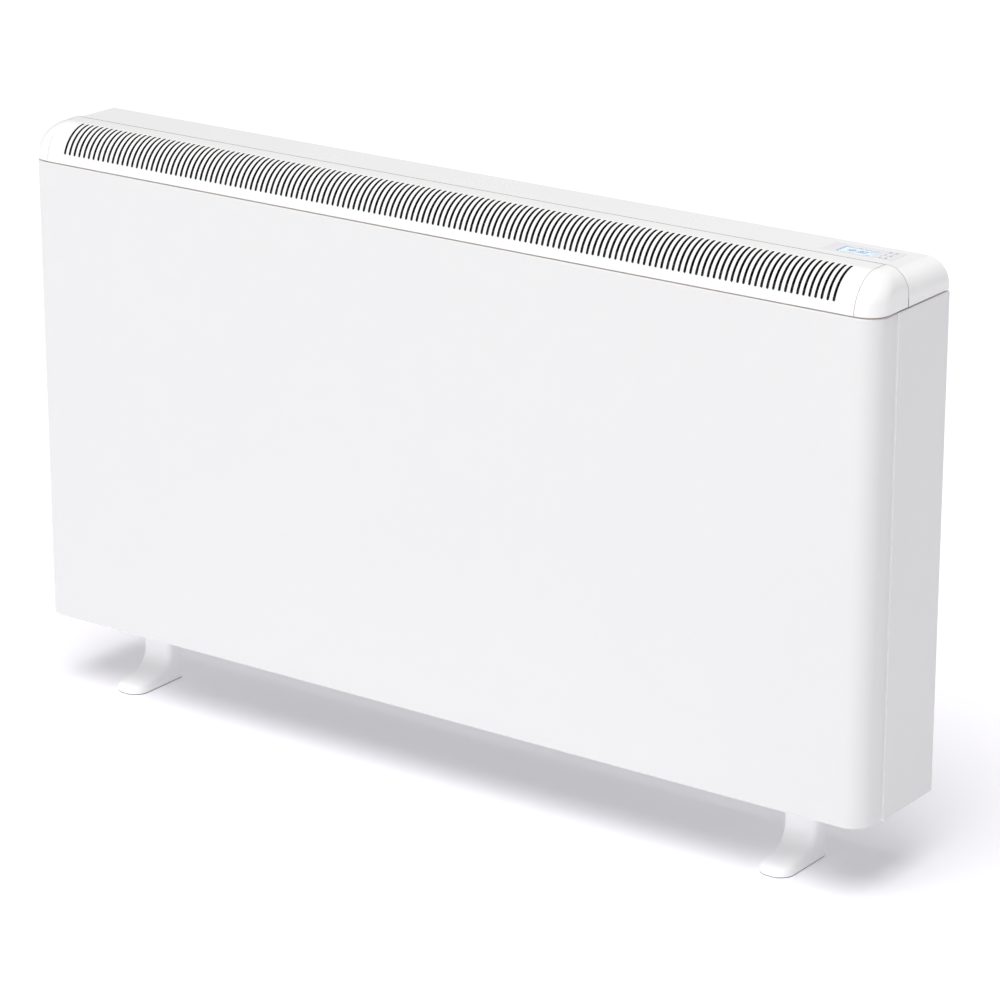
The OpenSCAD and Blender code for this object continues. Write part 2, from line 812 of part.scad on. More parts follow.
function leg_z(number) = let (middle = core_z[0] + (number - 0.5) * layer_h)
    [middle - leg_gap / 2, middle + leg_gap / 2];

// A hairpin: two legs along x and a half-round bend at the left.
module hairpin(bend_x, end_x, y, z, r) {
    gap = z[1] - z[0];
    for (leg = z) bar_x([bend_x, end_x], y, leg, r);
    translate([bend_x, y, (z[0] + z[1]) / 2]) rotate([90, 0, 0]) rotate([0, 0, 90])
        rotate_extrude(angle = 180) translate([gap / 2, 0]) circle(r = r);
}

module element_path(number, grow, end_x) {
    hairpin(core_x[0] + bend_inset, end_x, mid_y, leg_z(number), sheath_r + grow);
}

module probe_path(grow, end_x) {
    z = leg_z(probe_layer);
    bar_x([core_x[1] - probe_depth - grow, end_x], mid_y, (z[0] + z[1]) / 2, probe_r + grow);
}

module core_bricks(number) {
    z = [core_z[0] + (number - 1) * layer_h, core_z[0] + number * layer_h];
    joint = brick_gap / 2;
    color("dimgray") for (column = [0 : brick_columns - 1], half = [0, 1])
        let (x = core_x[0] + column * brick_l, y = core_y[0] + half * brick_d) difference() {
            block([x + joint, x + brick_l - joint], [y + joint, y + brick_d - joint], z);
            element_path(number, groove_gap, core_x[1] + cut);
            if (number == probe_layer) probe_path(groove_gap, core_x[1] + cut);
        }
}

module heating_element(number) {
    color("slategray") {
        element_path(number, 0, cold_x);
        for (z = leg_z(number)) {
            bar_x([part_r, part_r + bush_l], mid_y, z, bush_r);
            bar_x([cold_x, pin_x], mid_y, z, pin_r);
        }
    }
}

// Straps that join the elements end to end.
module element_links() {
    strap_w = 8;
    x = [cold_x + 3, cold_x + 4];
    color("goldenrod") for (n = [1 : layers - 1]) {
        low = leg_z(n)[1];
        high = leg_z(n + 1)[0];
        difference() {
            block(x, [mid_y - strap_w / 2, mid_y + strap_w / 2],
                  [low - strap_w / 2, high + strap_w / 2]);
            for (z = [low, high]) bar_x([x[0] - cut, x[1] + cut], mid_y, z, pin_r + 0.1);
        }
    }
}

module board(x, y, z) {
    color("beige") block(x, y, z);
}
module insulation_front() { board(box_x, [box_y[0], core_y[0]], core_z); }
module insulation_rear() { board(box_x, [core_y[1], box_y[1]], core_z); }
module insulation_top() { board(box_x, box_y, [core_z[1], lid_z]); }
module insulation_bottom() { board(box_x, box_y, [tray_z, core_z[0]]); }
module insulation_left() { board([box_x[0], core_x[0]], core_y, core_z); }
module insulation_right() {
    color("beige") difference() {
        block([core_x[1], box_x[1]], core_y, core_z);
        for (n = [1 : layers]) element_path(n, groove_gap, box_x[1] + cut);
        probe_path(groove_gap, box_x[1] + cut);
    }
}

module core_tray() {
    color("silver") {
        block(box_x, box_y, [tray_z - sheet_t, tray_z]);
        block(box_x, [box_y[0], box_y[0] + sheet_t], [base_top, tray_z]);
        block(box_x, [box_y[1] - sheet_t, box_y[1]], [base_top, tray_z]);
    }
}
module core_lid() {
    color("silver") block([part_l, part_r], box_y, [lid_z, lid_z + sheet_t]);
}
module heat_shield() {
    color("silver") block([part_l, part_r], [shield_y, box_y[0]], [base_top, lid_z + sheet_t]);
}
module partition_left() {
    color("silver") block([part_l, box_x[0]], box_y, [base_top, lid_z]);
}
module partition_right() {
    color("silver") difference() {
        block([box_x[1], part_r], box_y, [base_top, lid_z]);
        for (n = [1 : layers]) element_path(n, groove_gap, part_r + cut);
        probe_path(groove_gap, part_r + cut);
    }
}

// ---------- booster ----------

booster_end_x = part_r + 20;
booster_z_low = base_top + booster_z;
booster_legs = [booster_z_low, booster_z_low + booster_gap];

module booster_element() {
    color("slategray") {
        hairpin(part_r - booster_span, booster_end_x, booster_y, booster_legs, booster_r);
        for (z = booster_legs)
            bar_x([booster_end_x, booster_end_x + pin_len], booster_y, z, pin_r);
    }
}

module booster_brackets() {
    margin = 12;
    z = [booster_legs[0] - margin, booster_legs[1] + margin];
    color("silver") for (i = [0 : 2])
        let (x = part_r - booster_span * (0.08 + 0.4 * i)) difference() {
            union() {
                block([x, x + sheet_t], [booster_y - booster_r - 3, shield_y], z);
                block([x, x + margin], [shield_y - sheet_t, shield_y], z);
            }
            for (leg = booster_legs)
                bar_x([x - cut, x + sheet_t + cut], booster_y, leg, booster_r + 0.2);
        }
}

// ---------- wiring chamber ----------

module power_board() {
    face = power_x + board_t;
    middle = (power_y[0] + power_y[1]) / 2;
    color("seagreen") {
        difference() {
            block([power_x, face], power_y, power_z);
            pillar_places() bar_x([power_x - cut, face + cut], 0, 0, screw_r);
        }
        for (z = [power_z[0], power_z[1] - connector_h])
            block([face, face + connector_t],
                  [middle - connector_w / 2, middle + connector_w / 2],
                  [z, z + connector_h]);
        for (i = [0, 1])
            let (z = power_z[0] + relay_low + i * (relay_h + relay_gap))
                block([face, face + relay_t], [middle - relay_w / 2, middle + relay_w / 2],
                      [z, z + relay_h]);
        bar_x([face, face + capacitor_l], middle, power_z[0] + capacitor_low, capacitor_r);
    }
}

module pillar_places() {
    for (y = [power_y[0] + pillar_in[0], power_y[1] - pillar_in[0]],
         z = [power_z[0] + pillar_in[1], power_z[1] - pillar_in[1]])
        translate([0, y, z]) children();
}

module board_pillars() {
    color("ivory") pillar_places() {
        bar_x([part_r, power_x], 0, 0, pillar_r);
        bar_x([power_x, power_x + board_t + screw_r], 0, 0, screw_r - 0.1);
    }
}

term_poles = 3;
term_pitch = 16;

module term_places() {
    for (i = [0 : term_poles - 1])
        translate([term_x + (i - (term_poles - 1) / 2) * term_pitch, 0, 0]) children();
}

module terminal_block() {
    front = rear_in - term_d;
    color("ivory") difference() {
        block([term_x - term_w / 2, term_x + term_w / 2], [front, rear_in],
              [term_z, term_z + term_h]);
        term_places() {
            bar_y(0, [front - cut, front + 9], term_z + term_h / 2, 3);
            bar_z(0, front + 7, [term_z - cut, term_z + 8], 2.4);
        }
    }
}

module terminal_screws() {
    front = rear_in - term_d;
    color("goldenrod") term_places() difference() {
        bar_y(0, [front + 1, front + 9], term_z + term_h / 2, 2.8);
        block([-3, 3], [front, front + 2], [term_z + term_h / 2 - 0.4, term_z + term_h / 2 + 0.4]);
    }
}

tab_t = 0.8;
tab_w = 6.3;

module thermal_cutout() {
    cavity_r = reset_r + 1.4;
    color("ivory") difference() {
        union() {
            bar_x([part_r, part_r + cut_h], cut_y, cut_z, cut_r);
            block([part_r, part_r + 1.2], [cut_y - cut_r, cut_y + cut_r],
                  [cut_z - 16, cut_z + 16]);
            for (side = [-1, 1])
                block([part_r + 5, part_r + 5 + tab_t], [cut_y - tab_w / 2, cut_y + tab_w / 2],
                      [cut_z + (side > 0 ? 4 : -16), cut_z + (side > 0 ? 16 : -4)]);
        }
        bar_x([part_r + 4, part_r + cut_h - reset_neck], cut_y, cut_z, cavity_r);
        bar_x([part_r + 4, part_r + cut_h + cut], cut_y, cut_z, reset_r + 0.2);
    }
}

module reset_pin() {
    flange_x1 = part_r + cut_h - reset_neck - reset_lift;
    color("red") {
        bar_x([flange_x1 - reset_flange_t, flange_x1], cut_y, cut_z, reset_r + 1);
        bar_x([flange_x1, part_r + cut_h + reset_proud], cut_y, cut_z, reset_r);
    }
}

module core_probe() {
    z = leg_z(probe_layer);
    color("slategray") {
        probe_path(0, part_r);
        bar_x([part_r, part_r + probe_head_l], mid_y, (z[0] + z[1]) / 2, 2 * probe_r);
    }
}

sensor_side = 100;
sensor_x = part_r + sensor_side;
sensor_y = wrap_y + 10;
sensor_h = 14;

module room_sensor() {
    color("ivory") {
        block([sensor_x - 8, sensor_x + 8], [sensor_y - 5, sensor_y + 5],
              [base_top, base_top + 3]);
        bar_z(sensor_x, sensor_y, [base_top + 3, base_top + sensor_h], 3);
    }
}

module cable_gland() {
    color("dimgray") difference() {
        union() {
            bar_z(gland_x, gland_y, [foot_top, base_top + lock_h + 3], gland_r);
            bar_z(gland_x, gland_y, [foot_top - gland_flange_h, foot_top], gland_flange_r);
            bar_z(gland_x, gland_y, [foot_top - gland_drop, foot_top - gland_flange_h],
                  gland_r + 1);
        }
        bar_z(gland_x, gland_y, [foot_top - gland_drop - cut, base_top + lock_h + 3 + cut],
              gland_bore_r);
    }
}

module gland_nut() {
    color("gray") translate([gland_x, gland_y, base_top]) difference() {
        cylinder(r = gland_flange_r + 2, h = lock_h, $fn = 6);
        translate([0, 0, -cut]) cylinder(r = gland_r + 0.1, h = lock_h + 2 * cut);
    }
}

module wiring_loom() {
    socket_x = power_x + board_t + connector_t / 2;
    middle = (power_y[0] + power_y[1]) / 2;
    low = power_z[0];
    high = power_z[1];
    first = leg_z(1)[0];
    last = leg_z(layers)[1];
    lane_x = pin_x + 12;
    rise_x = term_x - 6;
    plug = cover_point(plug_x, plug_y, -board_drop - board_t - plug_h - hair);
    cut_x = part_r + 5 + tab_t / 2;
    color("firebrick") {
        // supply to the power board
        wire([[rise_x, rear_in - 8, term_z + term_h], [rise_x, rear_in - 8, low - 20],
              [socket_x, middle + 6, low - 20], [socket_x, middle + 6, low]]);
        // power board to the first element
        wire([[socket_x, middle + 1, low], [socket_x, middle + 1, low - 8],
              [lane_x, middle + 1, first], [lane_x, mid_y, first], [pin_x, mid_y, first]]);
        // power board to the last element
        wire([[socket_x, middle - 8, high], [socket_x, middle - 8, high + 8],
              [lane_x, middle - 8, last], [lane_x, mid_y, last], [pin_x, mid_y, last]]);
        // power board to the control board
        wire([[socket_x, middle, high], [socket_x, middle, lid_z],
              [plug[0], plug[1], crown_z - 45], plug]);
        // thermal cut-out
        wire([[cut_x, cut_y, cut_z + 16], [cut_x, cut_y, lid_z - 8],
              [socket_x, middle - 4, lid_z - 8], [socket_x, middle - 4, high]]);
        wire([[cut_x, cut_y, cut_z - 16], [cut_x, cut_y, high + 28],
              [socket_x, middle - 12, high + 18], [socket_x, middle - 12, high]]);
        // booster
        for (i = [0, 1])
            let (z = booster_legs[i], end = booster_end_x + pin_len, y = middle - 3 - 4 * i)
                wire([[end, booster_y, z], [end + 8, booster_y, z], [end + 8, y, z + 16],
                      [end + 8, y, low - 30], [socket_x + 3, y, low - 12],
                      [socket_x + 3, y, low]]);
        // room sensor
        wire([[sensor_x, sensor_y, base_top + sensor_h], [sensor_x, sensor_y, low - 40],
              [socket_x + 3, middle - 11, low - 16], [socket_x + 3, middle - 11, low]]);
    }
}

front_panel();
mirror([1, 0, 0]) side_panel();  // side_panel_left
side_panel();  // side_panel_right
rear_panel();
base_pan();
air_grille();
mirror([1, 0, 0]) end_cap();  // end_cap_left
end_cap();  // end_cap_right
top_cover();
control_fascia();
display_lens();
display_module();
control_board();
key_switches();
board_screws();
key(1);  // key_1
key(2);  // key_2
key(3);  // key_3
key(4);  // key_4
key(5);  // key_5
key(6);  // key_6
translate([-foot_x, 0, 0]) foot();  // foot_left
translate([foot_x, 0, 0]) foot();  // foot_right
foot_soles();
foot_screws();
case_screws();
core_bricks(1);  // core_bricks_1
core_bricks(2);  // core_bricks_2
core_bricks(3);  // core_bricks_3
core_bricks(4);  // core_bricks_4
heating_element(1);  // heating_element_1
heating_element(2);  // heating_element_2
heating_element(3);  // heating_element_3
heating_element(4);  // heating_element_4
element_links();
insulation_front();
insulation_rear();
insulation_top();
insulation_bottom();
insulation_left();
insulation_right();
core_tray();
core_lid();
heat_shield();
partition_left();
partition_right();
booster_element();
booster_brackets();
power_board();
board_pillars();
terminal_block();
terminal_screws();
thermal_cutout();
reset_pin();
core_probe();
room_sensor();
cable_gland();
gland_nut();
wiring_loom();
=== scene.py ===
"""Looks of a slim storage heater: steel case, slotted nose grille, a cover one step lower
with a small control panel, swept feet, and the core and wiring. Lengths are metres."""

from __future__ import annotations

import logging
import math
from contextlib import contextmanager
from dataclasses import dataclass
from enum import Enum
from typing import Callable, Iterator, Sequence

import bmesh
import bpy
from mathutils import Matrix, Vector

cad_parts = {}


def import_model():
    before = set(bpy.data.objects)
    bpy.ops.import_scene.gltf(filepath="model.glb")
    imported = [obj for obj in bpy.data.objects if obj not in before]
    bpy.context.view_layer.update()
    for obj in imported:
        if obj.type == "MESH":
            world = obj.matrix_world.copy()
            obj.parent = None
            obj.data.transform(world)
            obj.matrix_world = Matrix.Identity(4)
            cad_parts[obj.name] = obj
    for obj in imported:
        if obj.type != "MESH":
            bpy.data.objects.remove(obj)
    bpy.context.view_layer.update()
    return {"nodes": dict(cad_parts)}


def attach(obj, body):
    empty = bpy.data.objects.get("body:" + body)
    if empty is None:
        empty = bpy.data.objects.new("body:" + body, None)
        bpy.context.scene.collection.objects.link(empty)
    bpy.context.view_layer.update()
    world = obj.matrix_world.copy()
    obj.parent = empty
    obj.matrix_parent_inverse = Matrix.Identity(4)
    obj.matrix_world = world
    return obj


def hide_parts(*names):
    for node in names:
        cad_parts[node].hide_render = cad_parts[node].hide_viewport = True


log = logging.getLogger("heater")

MM = 0.001
FINE_WELD = 0.001 * MM  # points nearer than this are one, within a piece
WELD = 0.01 * MM  # the same, where bays or sections meet
TOUCH = 0.02 * MM  # faces nearer than this to a plane lie in it
NEAR = 0.05 * MM  # small clearance that doesn't show
TAB_GAP = 0.1 * MM  # clearance round the tab that closes the seam
MIDDLE = (0.3, 0.7)  # most of a noise's values lie between these
SOFT_ANGLE = 50.0  # sharpest edge that stays smooth once its piece is rounded, in degrees
KEY_COUNT = 6
Point2 = tuple[float, float]
Point3 = tuple[float, float, float]
Colour = tuple[float, float, float]
CASE = "case"


def quarter(steps: int) -> list[float]:
    """Angles of a quarter turn, from 0 to 90 degrees in equal steps, in radians."""
    return [math.radians(90 * k / steps) for k in range(steps + 1)]


# ---------------------------------------------------------------- sizes


@dataclass(frozen=True)
class HeaterSizes:
    """Main sizes of the heater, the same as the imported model's."""

    case_w: float = 1185 * MM
    case_d: float = 150 * MM
    panel_h: float = 580 * MM
    foot_h: float = 85 * MM
    sheet_t: float = 1.2 * MM
    corner_r: float = 26 * MM
    wrap_d: float = 45 * MM
    side_step: float = 2.2 * MM
    flange_w: float = 12 * MM
    seam_gap: float = 1.5 * MM
    rear_inset: float = 3 * MM
    nose_r: float = 44 * MM
    grille_d: float = 65 * MM
    cover_step: float = 8 * MM
    rear_drop: float = 1 * MM
    end_r: float = 28 * MM
    left_r: float = 8 * MM
    joint_inset: float = 2 * MM
    skin_t: float = 2.5 * MM
    nose_in: float = 1.0 * MM
    tab_in: float = 2.2 * MM
    groove_w: float = 0.8 * MM

    @property
    def half_w(self) -> float:
        """Distance from the middle to either end."""
        return self.case_w / 2

    @property
    def cap_half_w(self) -> float:
        """Distance from the middle to either end of the top mouldings."""
        return self.half_w - self.nose_in

    @property
    def nose_flat(self) -> float:
        """Depth of the nose's curve as a share of its height."""
        return 1 - self.nose_in / self.nose_r

    @property
    def front_y(self) -> float:
        """Place of the front face."""
        return -self.case_d / 2

    @property
    def wall_y(self) -> float:
        """Place of the wall side."""
        return self.case_d / 2

    @property
    def seam_z(self) -> float:
        """Height of the panels' top edges."""
        return self.foot_h + self.panel_h

    @property
    def crown_z(self) -> float:
        """Height of the cap's top."""
        return self.seam_z + self.nose_r

    @property
    def tab_y(self) -> float:
        """Front of the tab that closes the seam under the top mouldings."""
        return self.front_y + self.tab_in

    @property
    def wrap_x(self) -> float:
        """Outside of the front panel's wrap."""
        return self.half_w - self.side_step

    @property
    def wrap_y(self) -> float:
        """Rear edge of the front panel's wrap."""
        return self.front_y + self.wrap_d

    @property
    def rear_out(self) -> float:
        """Outer face of the rear panel."""
        return self.wall_y - self.rear_inset

    @property
    def joint_x(self) -> float:
        """Joint between the grille and an end cap."""
        return self.half_w - self.end_r - self.joint_inset

    @property
    def grille_y(self) -> float:
        """Rear edge of the grille."""
        return self.front_y + self.grille_d

    @property
    def cover_y(self) -> float:
        """Front edge of the top cover."""
        return self.grille_y + self.groove_w

    @property
    def cover_z(self) -> float:
        """Height of the top cover's front edge."""
        return self.crown_z - self.cover_step

    @property
    def slope(self) -> float:
        """Fall of the top cover, as an angle."""
        return math.atan2(self.rear_drop, self.wall_y - self.cover_y)

    @property
    def on_cover(self) -> Matrix:
        """Turns the cover's own frame into the world.

        Returns:
            The matrix; in the cover's frame y runs down the slope and z out of it.
        """
        return Matrix.Translation((0, self.cover_y, self.cover_z)) @ Matrix.Rotation(
            -self.slope, 4, "X"
        )


# ---------------------------------------------------------------- finishes


class Grain(Enum):
    """What a surface's fine texture looks like."""

    PEEL = "peel"
    MOULDED = "moulded"
    SPANGLE = "spangle"
    BRUSHED = "brushed"
    PORES = "pores"
    FIBRE = "fibre"
    TRACKS = "tracks"


class Graph:
    """Short way to write one material's nodes."""

    def __init__(self, name: str) -> None:
        """Makes an empty material with its shader.

        Args:
            name: the material's name.
        """
        self.material = bpy.data.materials.new(name)
        self.material.use_nodes = True
        self.tree = self.material.node_tree
        self.shader = self.tree.nodes["Principled BSDF"]
        self._coords: bpy.types.NodeSocket | None = None

    def add(self, kind: str, **settings: object) -> bpy.types.Node:
        """Adds a node and sets its properties.

        Args:
            kind: the node's type name.
            settings: properties by name.

        Returns:
            The new node.
        """
        node = self.tree.nodes.new(kind)
        for key, value in settings.items():
            setattr(node, key, value)
        return node

    def join(self, source: bpy.types.NodeSocket, target: bpy.types.NodeSocket) -> None:
        """Links two sockets."""
        self.tree.links.new(source, target)

    def coords(self, stretch: Sequence[float] = (1, 1, 1)) -> bpy.types.NodeSocket:
        """Object coordinates, stretched along each axis.

        Args:
            stretch: factor along x, y and z.

        Returns:
            The vector socket.
        """
        if self._coords is None:
            self._coords = self.add("ShaderNodeTexCoord").outputs["Object"]
        mapping = self.add("ShaderNodeMapping")
        mapping.inputs["Scale"].default_value = stretch
        self.join(self._coords, mapping.inputs["Vector"])
        return mapping.outputs["Vector"]

    def noise(
        self, size: float, detail: float = 2.0, stretch: Sequence[float] = (1, 1, 1)
    ) -> bpy.types.NodeSocket:
        """Noise with features of a given size.

        Args:
            size: feature size in metres.
            detail: octaves.
            stretch: factor along each axis.

        Returns:
            The noise's value socket.
        """
        node = self.add("ShaderNodeTexNoise")
        node.inputs["Scale"].default_value = 1 / size
        node.inputs["Detail"].default_value = detail
        self.join(self.coords(stretch), node.inputs["Vector"])
        return node.outputs["Fac"]

    def cells(self, size: float, output: str = "Color") -> bpy.types.NodeSocket:
        """Voronoi cells of a given size.

        Args:
            size: cell size in metres.
            output: which of the node's outputs.

        Returns:
            The socket.
        """
        node = self.add("ShaderNodeTexVoronoi")
        node.inputs["Scale"].default_value = 1 / size
        self.join(self.coords(), node.inputs["Vector"])
        return node.outputs[output]

    def ramp(
        self, value: bpy.types.NodeSocket, places: Point2, colours: Sequence[Colour]
    ) -> bpy.types.NodeSocket:
        """Turns a range of values into a run from one colour to another.

        Args:
            value: the value's socket.
            places: ends of the range.
            colours: colour at each end.

        Returns:
            The colour socket.
        """
        node = self.add("ShaderNodeValToRGB")
        for element, place, colour in zip(node.color_ramp.elements, places, colours):
            element.position = place
            element.color = (*colour, 1)
        self.join(value, node.inputs["Fac"])
        return node.outputs["Color"]

    def span(
        self,
        value: bpy.types.NodeSocket,
        source: Point2,
        target: Point2,
    ) -> bpy.types.NodeSocket:
        """Maps a range of values onto another.

        Args:
            value: the value's socket.
            source: range that comes in.
            target: range that goes out.

        Returns:
            The mapped value's socket.
        """
        node = self.add("ShaderNodeMapRange")
        for name, number in zip(
            ("From Min", "From Max", "To Min", "To Max"), (*source, *target)
        ):
            node.inputs[name].default_value = number
        self.join(value, node.inputs["Value"])
        return node.outputs["Result"]

    def mix(
        self, fac: float, a: bpy.types.NodeSocket, b: bpy.types.NodeSocket, mode: str = "MIX"
    ) -> bpy.types.NodeSocket:
        """Mixes two colours.

        Args:
            fac: share of the second.
            a: first colour.
            b: second colour.
            mode: how they mix.

        Returns:
            The mixed colour's socket.
        """
        node = self.add("ShaderNodeMix", data_type="RGBA", blend_type=mode)
        node.inputs["Factor"].default_value = fac
        self.join(a, node.inputs["A"])
        self.join(b, node.inputs["B"])
        return node.outputs[2]

    def bump(self, height: bpy.types.NodeSocket, depth: float, strength: float = 1.0) -> None:
        """Adds relief to the shader's normal.

        Args:
            height: socket from 0 to 1.
            depth: height of the relief in metres.
            strength: share of it that shows.
        """
        node = self.add("ShaderNodeBump")
        node.inputs["Distance"].default_value = depth
        node.inputs["Strength"].default_value = strength
        self.join(height, node.inputs["Height"])
        self.join(node.outputs["Normal"], self.shader.inputs["Normal"])


def tinted(colour: Colour, factor: float) -> Colour:
    """A lighter or darker colour.

    Args:
        colour: the colour.
        factor: what it is multiplied by.

    Returns:
        The new colour.
    """
    return tuple(min(1.0, c * factor) for c in colour)


@dataclass(frozen=True)
class Finish:
    """One surface finish, whose colour, gloss and relief all vary a little."""

    name: str
    slot: str
    colour: Colour
    roughness: float
    grain: Grain
    size: float
    depth: float
    metallic: float = 0.0
    coat: float = 0.0
    shade: float = 0.02
    spread: float = 0.05
    drift: float = 0.22
    # Glow in the finish's own colour: painted light on a part that is no lamp.
    lift: float = 0.0
    coat_roughness: float = 0.12
    hollow: float = 2.5
    fine_share: float = 0.45
    gloss_range: Point2 = (0.03, 1.0)

    def build(self) -> bpy.types.Material:
        """Makes the material.

        Returns:
            The finished material.
        """
        graph = Graph(self.name)
        shader = graph.shader
        shader.inputs["Metallic"].default_value = self.metallic
        shader.inputs["Coat Weight"].default_value = self.coat
        shader.inputs["Coat Roughness"].default_value = self.coat_roughness
        # Painted light: the finish glows a little in its own colour, though it is no lamp.
        shader.inputs["Emission Color"].default_value = (*self.colour, 1)
        shader.inputs["Emission Strength"].default_value = self.lift
        fine = self._texture(graph)
        wide = graph.noise(self.drift, 3)
        hollow, dark, light = (
            tinted(self.colour, 1 + share * self.shade) for share in (-self.hollow, -1, 1)
        )
        base = graph.ramp(wide, MIDDLE, (dark, light))
        detail = graph.ramp(fine, (0.25, 0.75), (hollow, light))
        graph.join(graph.mix(self.fine_share, base, detail), shader.inputs["Base Color"])
        low = max(self.roughness - self.spread, self.gloss_range[0])
        high = min(self.roughness + self.spread, self.gloss_range[1])
        worn = graph.mix(0.5, fine, wide)
        graph.join(graph.span(worn, MIDDLE, (low, high)), shader.inputs["Roughness"])
        graph.bump(fine, self.depth)
        return graph.material

    def _texture(self, graph: Graph) -> bpy.types.NodeSocket:
        """The fine texture's value from 0 to 1.

        Args:
            graph: the material's nodes.

        Returns:
            The value's socket.
        """
        size = self.size
        recipes: dict[Grain, Callable[[], bpy.types.NodeSocket]] = {
            Grain.PEEL: lambda: graph.noise(size, 1.5),
            Grain.MOULDED: lambda: graph.noise(size, 4),
            Grain.SPANGLE: lambda: graph.mix(
                0.25, graph.cells(size), graph.noise(size / 6, 3)
            ),
            Grain.BRUSHED: lambda: graph.noise(size, 3, stretch=(0.02, 1, 1)),
            Grain.PORES: lambda: graph.mix(
                0.5, graph.cells(size, "Distance"), graph.noise(size / 3, 6)
            ),
            Grain.FIBRE: lambda: graph.noise(size, 8, stretch=(0.3, 1, 1)),
            Grain.TRACKS: lambda: graph.cells(size, "Distance"),
        }
        return recipes[self.grain]()


@dataclass(frozen=True)
class ClearFinish:
    """Clear moulded plastic over the display."""

    name: str = "lens_clear"
    slot: str = "lens_clear"
    tint: Colour = (0.86, 0.94, 1.0)
    alpha: float = 0.12
    ior: float = 1.49
    haze_size: float = 4 * MM
    haze: float = 0.96
    roughness: Point2 = (0.04, 0.09)

    def build(self) -> bpy.types.Material:
        """Makes the material.

        Returns:
            The finished material.
        """
        graph = Graph(self.name)
        shader = graph.shader
        shader.inputs["Alpha"].default_value = self.alpha
        shader.inputs["IOR"].default_value = self.ior
        haze = graph.noise(self.haze_size, 3)
        colour = graph.ramp(haze, MIDDLE, (tinted(self.tint, self.haze), self.tint))
        graph.join(colour, shader.inputs["Base Color"])
        graph.join(graph.span(haze, MIDDLE, self.roughness), shader.inputs["Roughness"])
        return graph.material


@dataclass(frozen=True)
class DisplayFinish:
    """Lit liquid-crystal panel: pale blue, its tone drifting a little at random, on a fine grid.
    """

    name: str = "display_blue"
    slot: str = "display_blue"
    bright: Colour = (0.74, 0.85, 0.93)
    dim: Colour = (0.69, 0.81, 0.91)
    glow: float = 0.25
    drift: float = 30 * MM
    dot: float = 0.6 * MM
    dot_share: float = 0.12
    roughness: Point2 = (0.22, 0.3)

    def build(self) -> bpy.types.Material:
        """Makes the material.

        Returns:
            The finished material.
        """
        graph = Graph(self.name)
        shader = graph.shader
        wide = graph.noise(self.drift, 1)
        grid = graph.noise(self.dot, 0, stretch=(1, 1, 0.1))
        tones = (self.dim, self.bright)
        base, dots = graph.ramp(wide, (0.35, 0.65), tones), graph.ramp(grid, (0.4, 0.6), tones)
        colour = graph.mix(self.dot_share, base, dots)
        graph.join(colour, shader.inputs["Base Color"])
        graph.join(colour, shader.inputs["Emission Color"])
        shader.inputs["Emission Strength"].default_value = self.glow
        graph.join(graph.span(grid, MIDDLE, self.roughness), shader.inputs["Roughness"])
        return graph.material


